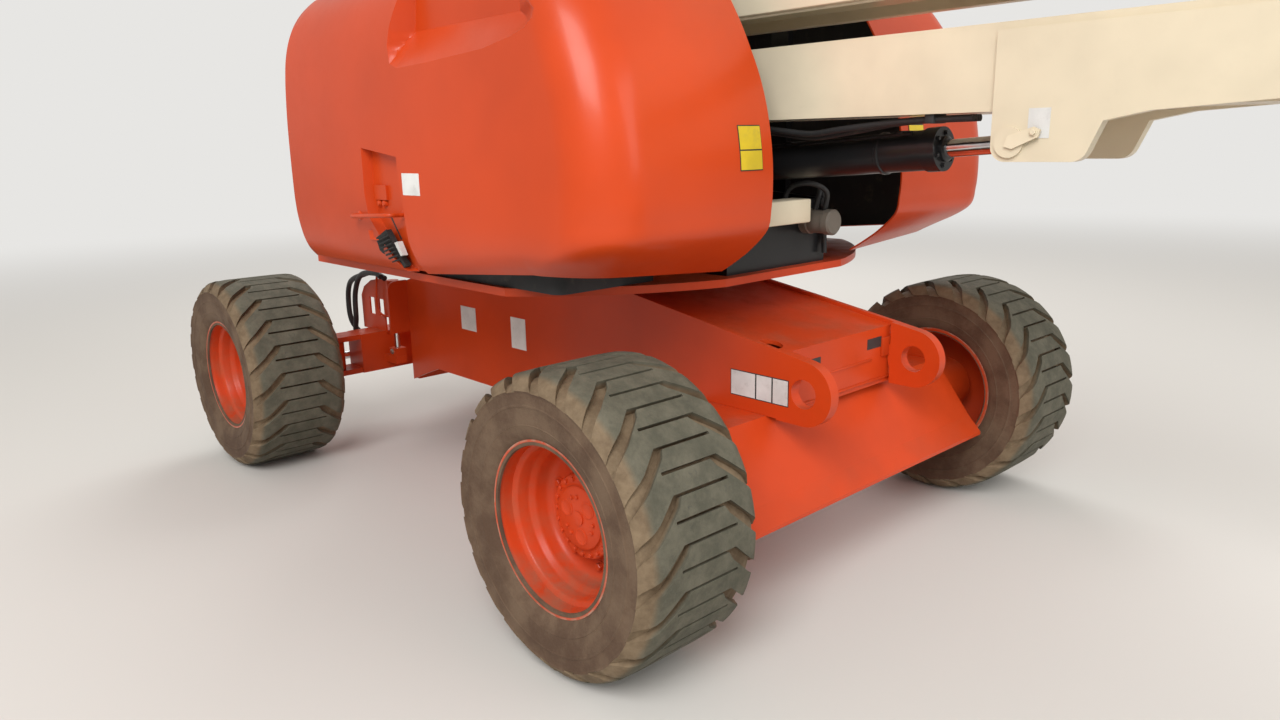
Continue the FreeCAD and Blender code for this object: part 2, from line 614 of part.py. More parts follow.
def make_steer_axle():
    x = -S.axle
    z = S.tyre_radius
    half = S.steer_beam_half_high
    deep = around(x, S.steer_beam_half_deep)
    seat = rod_height() - S.steer_barrel_radius - S.seat_gap
    hold_start = S.steer_barrel_half - S.hold_inset
    parts = [block(deep, both(S.steer_beam_half_wide), around(z, half)),
             rod("x", (0, z), S.axle_pin_radius, (deep[1] - S.weld, -S.frame_end - S.seat_gap))]
    bores = []
    for _, side in SIDES:
        kingpin = (x, side * S.kingpin_half_track)
        prong = sided(side, S.steer_beam_half_wide - S.sink, S.kingpin_half_track)
        for low in (z + half - S.fork_thick, z - half):
            level = (low, low + S.fork_thick)
            parts.append(block(around(x, S.fork_reach), prong, level))
            parts.append(rod("z", kingpin, S.fork_reach, level))
        bores.append(rod("z", kingpin, S.pin_radius + S.running_gap, around(z, 2 * half)))
        shelf = sided(side, S.lockout_half_track - S.lockout_radius, S.lockout_half_track + S.lockout_radius)
        parts.append(block((deep[1] - S.weld, S.lockout_radius - S.lockout_place), shelf,
                           (S.lockout_shelf_top - S.lockout_shelf_thick, S.lockout_shelf_top)))
        hold = sided(side, hold_start, hold_start + S.hold_wide)
        parts.append(block((x - S.steer_arm - S.steer_barrel_radius / 2, deep[0] + S.weld), hold,
                           (seat - S.fork_thick, seat)))
    piece("steer_axle", cut(fuse(*parts), *bores))


def make_knuckles():
    x = -S.axle
    z = S.tyre_radius
    inside = S.steer_beam_half_high - S.fork_thick - S.yoke_gap
    past_fork = S.kingpin_half_track + S.fork_reach + S.side_gap
    arm_level = around(z, S.arm_thick / 2)
    for word, side in SIDES:
        kingpin = (x, side * S.kingpin_half_track)
        yoke = rod("z", kingpin, S.yoke_radius, around(z, inside))
        pin = rod("z", kingpin, S.pin_radius, around(z, S.steer_beam_half_high + S.side_gap))
        arm_side = around(side * (S.kingpin_half_track - S.arm_inset), S.arm_half_wide)
        arm = block((x - S.steer_arm - S.arm_half_wide, x), arm_side, arm_level)
        neck = rod("y", (x, z), S.neck_radius, sided(side, S.kingpin_half_track, past_fork + S.weld))
        piece("knuckle_%s" % word, fuse(yoke, pin, arm, neck, *spindle(side, past_fork, x, z)))


def make_steering():
    line = (-S.axle - S.steer_arm, rod_height())
    barrel = rod("y", line, S.steer_barrel_radius, both(S.steer_barrel_half))
    bore = rod("y", line, S.steer_rod_radius + S.running_gap, both(S.steer_barrel_half + S.sink))
    piece("steer_cylinder", cut(barrel, bore))
    eye = S.kingpin_half_track - S.arm_inset
    eye_span = (rod_height() - S.steer_rod_radius - S.rod_eye_gap,
                S.tyre_radius - S.arm_thick / 2 - S.seat_gap)
    parts = [rod("y", line, S.steer_rod_radius, both(eye))]
    for _, side in SIDES:
        parts.append(rod("z", (line[0], side * eye), S.arm_half_wide, eye_span))
    piece("steer_rod", fuse(*parts))


def make_lockouts():
    parts = []
    x = -S.lockout_place
    seat = -(S.lockout_plate_back + S.lockout_plate_thick + S.seat_gap)
    for _, side in SIDES:
        y = side * S.lockout_half_track
        square = around(y, S.lockout_radius)
        barrel = rod("z", (x, y), S.lockout_radius, (S.lockout_mid, S.lockout_top))
        stem = rod("z", (x, y), S.lockout_rod_radius, (S.lockout_clevis_top - S.weld, S.lockout_mid + S.weld))
        clevis = block(around(x, S.lockout_radius), square,
                       (S.lockout_shelf_top + S.seat_gap, S.lockout_clevis_top))
        foot = block((x, seat), around(y, S.lockout_radius / 2),
                     (S.lockout_mid + S.lockout_foot_inset, S.lockout_top - S.lockout_foot_inset))
        parts.append(fuse(barrel, stem, clevis, foot))
    piece("lockout_cylinders", fuse(*parts))


# Turntable


def table_bottom():
    return S.frame_top + S.ring_high + 2 * S.seat_gap


def table_top():
    return table_bottom() + S.table_thick


def make_slewing_ring():
    low = S.frame_top + S.seat_gap
    outer = rod("z", (0, 0), S.ring_radius, (low, low + S.ring_high))
    hole = rod("z", (0, 0), S.ring_inner_radius, (low - S.weld, low + S.ring_high + S.weld))
    piece("slewing_ring", cut(outer, hole))


def mast_plate(side):
    foot = table_top() - S.weld
    head = around(S.tail_pivot, S.mast_head_half)
    outline = [(-S.mast_tail, foot), (-S.mast_tail, S.mast_tail_top), (head[0], S.mast_head_top),
               (head[1], S.mast_head_top), (S.tail_pivot + S.mast_foot_ahead, S.mast_foot_height),
               (S.tower_base_place, S.mast_front_height + S.mast_front_rise),
               (S.mast_front, S.mast_front_height), (S.mast_front, foot)]
    return plate("xz", outline, sided(side, S.mast_half_wide - S.mast_thick, S.mast_half_wide),
                 rounds=((S.mast_head_round, (2, 3)), (S.mast_foot_round, (4,))))


def pivot(x, z, side, near, far):
    """A boss that stands off a side plate towards the piece that turns on its pin."""
    return rod("y", (x, z), S.pin_radius + S.boss_wall, sided(side, near, far))


def base_cheek(side):
    """One of the two plates that hold the tower cylinder's foot."""
    near = S.tower_barrel_radius + S.side_gap
    span = sided(side, near, near + S.mast_thick)
    foot = table_top() - S.weld
    head = S.tower_base_height + S.gusset_rise
    outline = [(S.tower_base_place - S.gusset_back, foot), (S.tower_base_place - S.gusset_half, head),
               (S.tower_base_place + S.gusset_half, head), (S.tower_base_place + S.gusset_ahead, foot)]
    centre = (S.tower_base_place, S.tower_base_height)
    return [plate("xz", outline, span), rod("y", centre, 2 * S.pin_radius, span)]


def hinge_axis():
    return (S.hood_inner - S.hinge_inset, S.hood_top - S.hinge_drop)


def hinge_posts(side):
    """Posts at a hood's hinges, each with two lugs and the pin between them."""
    y, z = hinge_axis()
    ear_room = S.hinge_half + S.weld
    reach = ear_room + S.hinge_lug
    post_top = z - S.hinge_radius - S.side_gap
    depth = sided(side, y - S.hinge_post_deep + S.hinge_radius, y + S.hinge_radius)
    lug_depth = sided(side, y - S.hinge_radius, y + S.hinge_radius)
    parts = []
    for x in (S.hinge_back, S.hinge_front):
        parts.append(block(around(x, reach), depth, (table_top() - S.weld, post_top)))
        for place in (x - reach, x + ear_room):
            span = (place, place + S.hinge_lug)
            parts.append(rod("x", (side * y, z), S.hinge_radius, span))
            parts.append(block(span, lug_depth, (post_top - S.weld, z)))
        parts.append(rod("x", (side * y, z), S.hinge_pin_radius, around(x, reach)))
    return parts


def make_turntable():
    level = (table_bottom(), table_top())
    foot = table_top() - S.weld
    inner = S.mast_half_wide - S.mast_thick + S.weld
    base = common(rod("z", (0, 0), S.table_radius, level),
                  block((-S.table_radius, S.table_front), both(S.table_half_wide), level))
    tail = block((-S.mast_tail, S.mast_thick - S.mast_tail), both(inner),
                 (foot, S.mast_tail_top - S.mast_tail_drop))
    front = block((S.mast_front - S.mast_thick, S.mast_front), both(inner), (foot, S.mast_front_height))
    lower = (S.tail_pivot, S.lower_pivot_height)
    upper = (S.tail_pivot, link_height())
    parts = [base, tail, front, rod("y", lower, S.pin_radius, both(S.mast_half_wide)),
             rod("y", (S.tower_base_place, S.tower_base_height), S.cylinder_pin_radius,
                 both(S.tower_barrel_radius + S.side_gap + S.mast_thick))]
    for _, side in SIDES:
        parts.append(mast_plate(side))
        parts += base_cheek(side)
        parts += hinge_posts(side)
        parts.append(pivot(*lower, side, S.riser_half_wide + S.side_gap, inner))
        parts.append(pivot(*upper, side, S.link_outer + S.side_gap, inner))
        parts.append(rod("y", upper, S.pin_radius, sided(side, S.link_inner - S.weld, S.mast_half_wide)))
    piece("turntable_frame", fuse(*parts))


def make_counterweight():
    span = (table_top() + S.seat_gap, S.weight_top)
    front = -(S.mast_tail + S.seat_gap)
    round_tail = rod("z", (0, 0), S.weight_radius, span)
    tail_block = block((-S.weight_radius, front), both(S.weight_half_wide), span)
    piece("counterweight", common(round_tail, tail_block))


def hood_form(inset):
    """The right hood's outside, or its inside where inset is the wall:
    its side, end and plan views, crossed."""
    nose = S.hood_nose - inset
    top = S.hood_top - inset
    tail = S.hood_tail_radius - inset
    outer = S.hood_outer - inset
    side_view = [(-tail, S.hood_bottom), (-tail, S.hood_tail_top - inset), (S.hood_tail_slope - tail, top),
                 (nose - S.nose_top_back, top), (nose - S.nose_crown_back, S.nose_crown_height),
                 (nose - S.nose_cheek_back, S.nose_cheek_height),
                 (nose - S.nose_brow_back, S.nose_brow_height),
                 (nose, S.nose_lip_height), (nose - S.nose_chin_back, S.nose_chin_height),
                 (nose - S.nose_foot_back, S.hood_bottom)]
    end_view = [(S.hood_curl - outer, S.hood_bottom), (-outer, S.nose_chin_height), (-outer, top),
                (-S.hood_inner, top), (-S.hood_inner, S.hood_bottom)]
    level = (S.hood_bottom - S.weld, S.hood_top + S.weld)
    plan = plate("xy", rectangle((0, nose), (-outer, -S.hood_inner)), level,
                 rounds=((S.hood_shoulder - inset, (1,)),))
    return common(plate("xz", side_view, (-outer, -S.hood_inner)), fuse(rod("z", (0, 0), tail, level), plan),
                  plate("yz", end_view, (-tail, nose), rounds=((S.hood_shoulder - inset, (2,)),)))


def scoop(grow):
    """The air scoop pressed into the hood's side, grown by the wall for the inside."""
    outline = [(S.scoop_start - grow, S.scoop_low - grow),
               (S.scoop_end + grow, S.scoop_low + S.scoop_rise - grow),
               (S.scoop_end + grow, S.scoop_top + grow), (S.scoop_start - grow, S.scoop_top + grow)]
    return plate("xz", outline, (-S.hood_outer - S.weld, S.scoop_deep + grow - S.hood_outer),
                 rounds=((S.scoop_round, (0, 1, 2, 3)),))


def latch_recess(grow):
    """The slanted recess for the hood's latch, open at the bottom edge."""
    start = S.latch_start - grow
    end = S.latch_start + S.latch_wide + grow
    low = S.hood_bottom - S.weld
    outline = [(start + S.latch_slant, low), (end + S.latch_slant, low), (end, S.latch_top + grow),
               (start, S.latch_top + grow)]
    return plate("xz", outline, (-S.hood_outer - S.weld, S.latch_deep + grow - S.hood_outer))


def right_hood():
    y, z = hinge_axis()
    wall = S.hood_wall
    outside = cut(hood_form(0), scoop(0), latch_recess(0))
    inside = cut(hood_form(wall), scoop(wall), latch_recess(wall))
    ears = []
    bores = []
    for x in (S.hinge_back, S.hinge_front):
        span = around(x, S.hinge_half)
        ears.append(rod("x", (-y, z), S.hinge_radius, span))
        ears.append(block(span, (-(S.hood_inner + S.hinge_ear), -y), (z, S.hood_top - S.weld)))
        bores.append(rod("x", (-y, z), S.hinge_pin_radius + S.running_gap,
                         around(x, S.hinge_half + S.side_gap)))
    return cut(fuse(cut(outside, inside), *ears), *bores)


def make_hoods():
    piece("hood_right", right_hood())
    left = DOC.addObject("Part::Mirroring", "Mirrored")
    left.Source = right_hood()
    left.Normal = Vector(0, 1, 0)
    piece("hood_left", left)


def make_engine_and_tanks():
    low = table_top() + S.seat_gap
    corners = ((S.tank_corner, (0, 1, 2, 3)),)
    engine = rectangle(around(S.engine_place, S.engine_long / 2),
                       (S.hood_inner + S.engine_inset, S.hood_outer - S.engine_outset))
    piece("engine_block", plate("xy", engine, (low, low + S.engine_high), rounds=corners))
    tank_side = (S.tank_outset - S.hood_outer, -(S.hood_inner + S.tank_inset))
    oil_start = -(S.hood_side_back + S.tank_start_back)
    fuel_start = oil_start + S.oil_tank_long + S.tank_gap
    for name, start, long, high in (("hydraulic_tank", oil_start, S.oil_tank_long, S.oil_tank_high),
                                    ("fuel_tank", fuel_start, S.fuel_tank_long, S.fuel_tank_high)):
        outline = rectangle((start, start + long), tank_side)
        piece(name, plate("xy", outline, (low, low + high), rounds=corners))


# Tower


def link_height():
    """Both links share one line of pins on the mid upright."""
    return S.lower_pivot_height + S.lower_link_rise


def doubler(side):
    """The cream plate on each side of the riser's end, whose lobe carries the tower cylinder's rod."""
    top = S.lower_pivot_height + S.riser_high / 2 - S.doubler_inset
    low = S.lower_pivot_height - S.riser_high / 2
    outline = [(S.doubler_start, S.lobe_bottom), (S.doubler_start, top), (S.tower_top, top),
               (S.tower_top, low + S.doubler_inset), (S.lobe_end, low - S.lobe_lip),
               (S.lobe_end - S.lobe_slope_long, low - S.lobe_slope_drop),
               (S.lobe_end - S.lobe_foot_long, S.lobe_bottom)]
    span = sided(side, S.riser_half_wide - S.doubler_thick, S.riser_half_wide + S.doubler_thick)
    return plate("xz", outline, span, rounds=((S.lobe_round, (0, 6)),))


def make_lower_riser():
    ends = (S.tail_pivot, S.tower_top)
    z = S.lower_pivot_height
    wide = both(S.riser_half_wide)
    face = S.riser_half_wide + S.doubler_thick
    eye = (S.tower_eye_place, S.tower_eye_height)
    parts = [hollow_beam(ends, wide, around(z, S.riser_high / 2), S.beam_wall)]
    parts += [rod("y", (x, z), S.riser_end_radius, wide) for x in ends]
    for _, side in SIDES:
        parts.append(doubler(side))
        parts.append(rod("y", eye, S.pin_radius, sided(side, S.cylinder_eye_half + S.side_gap, face)))
        parts.append(rod("y", eye, S.pin_head_radius, sided(side, face - S.weld, face + S.pin_head_out)))
    holes = [rod("y", (x, z), S.pin_radius + S.running_gap, both(face + S.sink)) for x in ends]
    piece("lower_riser", cut(fuse(*parts), *holes))


def link_bar(x, y, z, half_high, end_radius, pin):
    """A flat bar with an eye at each end."""
    parts = [block(x, y, around(z, half_high))]
    holes = []
    for place in x:
        parts.append(rod("y", (place, z), end_radius, y))
        holes.append(rod("y", (place, z), pin + S.running_gap, (y[0] - S.sink, y[1] + S.sink)))
    return cut(fuse(*parts), *holes)


def make_lower_link():
    bars = [link_bar((S.tail_pivot, S.tower_top), sided(side, S.link_inner, S.link_outer), link_height(),
                     S.link_half_high, S.link_half_high, S.pin_radius) for _, side in SIDES]
    piece("lower_link", fuse(*bars))


def make_upper_link():
    end_radius = S.upper_link_half_high + S.upper_link_rim
    piece("upper_link", link_bar((S.tail_pivot, S.tower_top), both(S.upper_link_half_wide), link_height(),
                                 S.upper_link_half_high, end_radius, S.pin_radius))


def make_mid_upright():
    x = S.tower_top
    low = S.lower_pivot_height
    high = S.upper_pivot_height
    inner = S.upright_plate_inner + S.weld
    outline = rectangle(around(x, S.mid_plate_half), (S.mid_plate_bottom, S.mid_plate_top))
    web_back = x + S.mid_plate_half - S.mast_thick
    web_low = S.mid_plate_bottom + S.mid_web_rise
    parts = [block((web_back, web_back + S.mast_thick), both(inner), (web_low, web_low + S.mid_web_high))]
    for height in (low, high, link_height()):
        parts.append(rod("y", (x, height), S.pin_radius, both(S.upright_plate_outer)))
    for _, side in SIDES:
        parts.append(plate("xz", outline, sided(side, S.upright_plate_inner, S.upright_plate_outer),
                           rounds=((S.mid_plate_round, (0, 1, 2, 3)),)))
        parts.append(pivot(x, low, side, S.riser_half_wide + S.doubler_thick + S.side_gap, inner))
        parts.append(pivot(x, high, side, S.twin_outer + S.side_gap, inner))
    piece("mid_upright", fuse(*parts))


def make_upper_riser():
    ends = (S.tail_pivot, S.tower_top)
    z = S.upper_pivot_height
    half = S.twin_half_high
    parts = [block((S.twin_bridge_start, S.twin_bridge_end), both(S.twin_inner + S.weld),
                   (z + half - S.bridge_thick, z + half))]
    for _, side in SIDES:
        y = sided(side, S.twin_inner, S.twin_outer)
        parts.append(hollow_beam(ends, y, around(z, half), S.beam_wall))
        parts += [rod("y", (x, z), half, y) for x in ends]
    holes = [rod("y", (x, z), S.pin_radius + S.running_gap, both(S.twin_outer + S.sink)) for x in ends]
    piece("upper_riser", cut(fuse(*parts), *holes))


def make_upright():
    x = S.tail_pivot
    high = S.upper_pivot_height
    low = link_height()
    boom = (S.boom_pivot, S.boom_pivot_height)
    foot = (S.lift_base_place, S.lift_base_height)
    ledge = S.ear_bottom + S.ear_ledge
    cheek = [(x - S.cheek_back, low - S.cheek_foot), (x - S.cheek_back, high),
             (boom[0] - S.mast_head_half / 2, ledge), (foot[0] - S.cheek_ahead / 2, ledge),
             (foot[0] + S.cheek_ahead, high), (foot[0] + S.cheek_ahead, foot[1] - S.cheek_back),
             (x + S.cheek_ahead, low - S.cheek_foot)]
    ear = [(boom[0] - S.ear_radius, S.ear_bottom), (boom[0] - S.ear_radius, boom[1]),
           (boom[0] + S.ear_radius, boom[1]), (foot[0] - S.cheek_ahead, ledge),
           (foot[0] - S.cheek_ahead, S.ear_bottom)]
    parts = []
    rounds = []
    for _, side in SIDES:
        parts.append(plate("xz", cheek, sided(side, S.cheek_inner, S.cheek_outer)))
        parts.append(plate("xz", ear, sided(side, S.cheek_inner, S.ear_outer)))
        rounds.append(rod("y", boom, S.ear_radius, sided(side, S.ear_inner, S.ear_outer)))
    room = block((boom[0] - 2 * S.boom_half_high, foot[0] + 2 * S.boom_half_high), both(S.ear_inner),
                 (ledge, boom[1] + 2 * S.boom_half_high))
    pins = [rod("y", boom, S.pin_radius, both(S.ear_outer)),
            rod("y", (x, high), S.pin_radius, both(S.twin_outer)),
            rod("y", (x, low), S.pin_radius, both(S.cheek_outer)),
            rod("y", foot, S.cylinder_pin_radius, both(S.cheek_outer))]
    piece("upright", fuse(cut(fuse(*parts), room), *rounds, *pins))


# Booms


def make_main_boom():
    z = S.boom_pivot_height
    half = S.boom_half_high
    wide = S.boom_half_wide
    wall = S.boom_wall
    centre = (S.boom_pivot, z)
    eye = (S.lift_eye_place, S.lift_eye_height)
    outside = fuse(block((S.boom_pivot, S.boom_front), both(wide), around(z, half)),
                   rod("y", centre, half, both(wide)),
                   block((S.boom_front - S.collar_long, S.boom_front), both(wide + S.collar_out),
                         around(z, half + S.collar_out)))
    inside = fuse(block((S.boom_pivot, S.boom_front + wall), both(wide - wall), around(z, half - wall)),
                  rod("y", centre, half - wall, both(wide - wall)))
    lug = [(eye[0] - S.lift_lug_foot, z - half + S.weld),
           (eye[0] - S.lift_lug_head, eye[1] - S.lift_lug_drop),
           (eye[0] + S.lift_lug_head, eye[1] - S.lift_lug_drop),
           (eye[0] + S.lift_lug_foot, z - half + S.weld)]
    near = S.cylinder_eye_half + S.side_gap
    added = []
    for _, side in SIDES:
        span = sided(side, near, near + S.lift_lug_thick)
        added.append(plate("xz", lug, span))
        added.append(rod("y", eye, S.pin_radius,
                         sided(side, near + S.weld, near + S.lift_lug_thick + S.pin_head_out)))
        added.append(rod("y", centre, S.boom_boss_radius,
                         sided(side, wide - S.weld, S.ear_inner - S.ear_ledge)))
    hole = rod("y", centre, S.pin_radius + S.running_gap, both(wide + S.sink))
    piece("main_boom", cut(fuse(cut(outside, inside), *added), hole))


def make_fly_boom():
    z = S.boom_pivot_height
    wide = S.fly_half_wide
    half = S.fly_half_high
    tube = hollow_beam((S.fly_tail, S.fly_neck), both(wide), around(z, half), S.boom_wall)
    nose = block((S.fly_neck - S.weld, S.nose_pivot), both(wide), around(z, S.nose_radius))
    tip = rod("y", (S.nose_pivot, z), S.nose_radius, both(wide))
    reach = S.boom_half_wide - S.boom_wall - S.seat_gap
    rise = S.boom_half_high - S.boom_wall - S.seat_gap
    bore = block((S.fly_tail + S.boom_wall, S.fly_neck - S.boom_wall), both(wide - S.boom_wall),
                 around(z, half - S.boom_wall))
    pads = []
    for start in (S.fly_tail + S.weld, S.boom_front - S.pad_back):
        pads.append(block((start, start + S.pad_long), both(reach), around(z, S.pad_half_high)))
        pads.append(block((start, start + S.pad_long), both(S.pad_half_wide), around(z, rise)))
    hole = rod("y", (S.nose_pivot, z), S.pin_radius + S.running_gap, both(wide + S.sink))
    piece("fly_boom", cut(fuse(tube, nose, tip, *[cut(pad, bore) for pad in pads]), hole))


def cylinder_pieces(name, base, eye, barrel, stem, barrel_long, eye_radius, eye_half, pin):
    """A hydraulic cylinder between two pins, drawn along +X from its base pin. Its rod's eye is closed:
    the member that it pushes has a stub of the pin on each side of it."""
    rise = eye[1] - base[1]
    run = eye[0] - base[0]
    long = root(run * run + rise * rise)
    turn = tilt(math.degrees(math.atan2(rise.value, run.value)))
    place = (base[0], 0, base[1])
    tube = rod("x", (0, 0), barrel, (eye_radius / 2, barrel_long))
    gland = rod("x", (0, 0), barrel + S.gland_out, (barrel_long - S.gland_long, barrel_long))
    bore = rod("x", (0, 0), stem + S.running_gap, (eye_radius + S.barrel_floor, barrel_long + S.sink))
    foot = rod("y", (0, 0), eye_radius, both(eye_half))
    hole = rod("y", (0, 0), pin + S.running_gap, both(eye_half + S.sink))
    piece(name + "_barrel", cut(fuse(tube, gland, foot), bore, hole), place, turn)
    shaft = rod("x", (0, 0), stem, (eye_radius + 2 * S.barrel_floor, long - eye_radius / 2))
    piece(name + "_rod", fuse(shaft, rod("y", (long, 0), eye_radius, both(eye_half))), place, turn)


def make_cylinders():
    cylinder_pieces("tower_cylinder", (S.tower_base_place, S.tower_base_height),
                    (S.tower_eye_place, S.tower_eye_height), S.tower_barrel_radius, S.tower_rod_radius,
                    S.tower_barrel_long, S.tower_eye_radius, S.cylinder_eye_half, S.cylinder_pin_radius)
    cylinder_pieces("lift_cylinder", (S.lift_base_place, S.lift_base_height),
                    (S.lift_eye_place, S.lift_eye_height), S.lift_barrel_radius, S.lift_rod_radius,
                    S.lift_barrel_long, S.lift_eye_radius, S.cylinder_eye_half, S.cylinder_pin_radius)
    near = (S.jib_place, S.jib_height)
    cylinder_pieces("jib_cylinder", polar(near, S.jib_offset, S.jib_offset_angle),
                    polar(near, S.jib_eye_reach, S.jib_angle), S.jib_barrel_radius, S.jib_rod_radius,
                    S.jib_barrel_long, S.jib_eye_radius, S.jib_eye_half, S.jib_pin_radius)


# Jib and platform


def polar(place, length, angle):
    return (place[0] + length * cosine(angle), place[1] + length * sine(angle))


def make_jib_knuckle():
    near = (S.jib_place, S.jib_height)
    low = polar(near, S.jib_offset, S.jib_offset_angle)
    nose = (S.nose_pivot, S.boom_pivot_height)
    rim = S.knuckle_rim
    outline = [(nose[0] - 2 * rim, nose[1] - rim), (nose[0] - 2 * rim, nose[1] + 2 * rim),
               (nose[0] + 2 * rim, nose[1] + 2 * rim), (near[0] + 2 * rim, near[1] + rim),
               (low[0] + 2 * rim, low[1] - 1.5 * rim), (low[0] - 2 * rim, low[1] - 1.5 * rim),
               (near[0] - 2 * rim, near[1] - rim)]
    parts = [rod("y", nose, S.pin_radius, both(S.knuckle_outer)),
             rod("y", low, S.jib_pin_radius, both(S.knuckle_outer))]
    for _, side in SIDES:
        parts.append(plate("xz", outline, sided(side, S.knuckle_inner, S.knuckle_outer),
                           rounds=((S.knuckle_round, (0, 1, 2, 4, 5)),)))
        parts.append(rod("y", nose, S.nose_boss_radius, sided(side, S.fly_half_wide + S.ear_ledge,
                                                              S.knuckle_inner + S.weld)))
        parts.append(rod("y", near, S.pin_radius, sided(side, S.jib_eye_half + S.side_gap, S.knuckle_outer)))
    piece("jib_knuckle", fuse(*parts))


def make_jib():
    near = (S.jib_place, S.jib_height)
    low = polar(near, S.jib_offset, S.jib_offset_angle)
    turn = tilt(S.jib_angle.value)
    run = S.jib_long
    parts = [block((S.jib_end_radius, run - S.jib_end_radius), both(S.jib_tube_outer),
                   (S.jib_half_high - S.weld, S.jib_half_high + S.jib_cover_thick))]
    holes = [rod("y", (place, 0), S.pin_radius + S.running_gap, both(S.jib_tube_outer + S.sink))
             for place in (0, run)]
    for _, side in SIDES:
        y = sided(side, S.jib_tube_inner, S.jib_tube_outer)
        parts.append(block((0, run), y, both(S.jib_half_high)))
        parts += [rod("y", (place, 0), S.jib_end_radius, y) for place in (0, run)]
        parts.append(rod("y", (S.jib_eye_reach, 0), S.pin_radius,
                         sided(side, S.jib_eye_half + S.side_gap, S.jib_tube_inner + S.weld)))
    piece("jib_arm", cut(fuse(*parts), *holes), (near[0], 0, near[1]), turn)
    bars = [link_bar((0, run), sided(side, S.jib_link_inner, S.jib_link_outer), as_size(0),
                     S.jib_link_half_high, S.jib_link_half_high + S.jib_link_rim, S.jib_pin_radius)
            for _, side in SIDES]
    piece("jib_link", fuse(*bars), (low[0], 0, low[1]), turn)


def make_platform_mount():
    far = polar((S.jib_place, S.jib_height), S.jib_long, S.jib_angle)
    low = polar(far, S.jib_offset, S.jib_offset_angle)
    rim = S.mount_rim
    back = S.rotator_place - S.rotator_radius
    outline = [(far[0] - 2 * rim, far[1] - rim), (far[0] - rim, far[1] + 2 * rim), (back + rim, far[1] + rim),
               (back + rim, low[1] - rim), (low[0] - rim, low[1] - 2 * rim), (low[0] - 2 * rim, low[1] - rim)]
    parts = [block((back + S.mount_web_back, back + S.mount_web_back + S.mount_web_thick),
                   both(S.knuckle_outer), (low[1] - rim, far[1] + rim)),
             rod("z", (S.rotator_place, 0), S.rotator_radius, (S.rotator_low + rim, S.rotator_high - rim)),
             rod("y", far, S.pin_radius, both(S.knuckle_outer)),
             rod("y", low, S.jib_pin_radius, both(S.knuckle_outer))]
    parts += [plate("xz", outline, sided(side, S.knuckle_inner, S.knuckle_outer)) for _, side in SIDES]
    piece("platform_mount", fuse(*parts))


def platform_ends():
    start = S.rotator_place + S.platform_gap
    return (start, start + S.platform_long)


def floor_top():
    return S.floor_height + S.floor_thick


def rail_lines():
    """Centre lines of the rails: the two ends along X, and half the width."""
    inset = S.rail_radius + S.toe_thick
    x = platform_ends()
    return (x[0] + inset, x[1] - inset), S.platform_wide / 2 - inset


def gate_way():
    start = platform_ends()[0] + S.gate_start
    return (start, start + S.gate_long)


def make_platform_floor():
    x = platform_ends()
    half = S.platform_wide / 2
    top = floor_top()
    kerb_top = top + S.toe_high
    panel = S.toe_thick + 2 * S.rail_radius + S.side_gap
    tray = block(x, both(half), (S.floor_height, top))
    kerb = cut(block(x, both(half), (top - S.weld, kerb_top)),
               block((x[0] + S.toe_thick, x[1] - S.toe_thick), both(half - S.toe_thick),
                     (top - 2 * S.weld, kerb_top + S.weld)))
    deck_panel = block((x[0] + panel, x[1] - panel), both(half - panel), (top - S.weld, top + S.panel_rise))
    door = block(gate_way(), (-half - S.toe_thick, S.rail_radius - half), (top, kerb_top + S.weld))
    piece("platform_floor", cut(fuse(tray, kerb, deck_panel), door))


def make_platform_rails():
    ends, left = rail_lines()
    turn = S.rail_bend
    top = S.rail_top - S.rail_radius
    start = floor_top() + S.seat_gap
    way = gate_way()
    posts = (way[0] - S.gate_post_gap, way[1] + S.gate_post_gap)
    side = (ends[0] + turn, ends[1] - turn)
    rails = ((top, S.rail_radius, -left, side), (top, S.rail_radius, left, side),
             (S.rail_mid, S.mid_rail_radius, left, side),
             (S.rail_mid, S.mid_rail_radius, -left, (side[0], posts[0])),
             (S.rail_mid, S.mid_rail_radius, -left, (posts[1], side[1])))
    parts = [rod("x", (y, height), radius, span) for height, radius, y, span in rails]
    for height, radius in ((top, S.rail_radius), (S.rail_mid, S.mid_rail_radius)):
        parts += [rod("y", (x, height), radius, both(left - turn)) for x in ends]
        for quarter, x, y in ((0, side[1], left - turn), (1, side[0], left - turn),
                              (2, side[0], turn - left), (3, side[1], turn - left)):
            parts.append(bend((x, y, height), turn, radius, quarter))
    parts += [rod("z", (x, y), S.post_radius, (start, top))
              for x in ends for y in (turn - left, 0, left - turn)]
    parts += [rod("z", (x, -left), S.post_radius, (start, top)) for x in posts]
    piece("platform_rails", fuse(*parts))


def make_platform_gate():
    left = rail_lines()[1]
    way = gate_way()
    hinge_x = way[1] + S.gate_post_gap
    start = way[0] - S.gate_post_gap + S.post_radius + S.gate_gap + S.gate_post_radius
    end = hinge_x - S.gate_collar_radius - S.gate_gap - S.gate_post_radius
    low = floor_top() + S.gate_low
    high = S.rail_top - S.gate_head_drop
    bar = S.gate_bar_radius
    parts = [rod("x", (-left, height), bar, (start, end))
             for height in (low + 2 * bar, S.rail_mid, high - 2 * bar)]
    parts += [rod("z", (x, -left), S.gate_post_radius, (low, high)) for x in (start, end)]
    for base in (S.gate_collar_low, S.gate_collar_high):
        arm = rod("x", (-left, base + S.gate_collar_tall / 2), bar, (end, hinge_x))
        post = rod("z", (hinge_x, -left), S.post_radius + S.running_gap,
                   (base - S.sink, base + S.gate_collar_tall + S.sink))
        collar = rod("z", (hinge_x, -left), S.gate_collar_radius, (base, base + S.gate_collar_tall))
        parts.append(cut(fuse(arm, collar), post))
    piece("platform_gate", fuse(*parts))


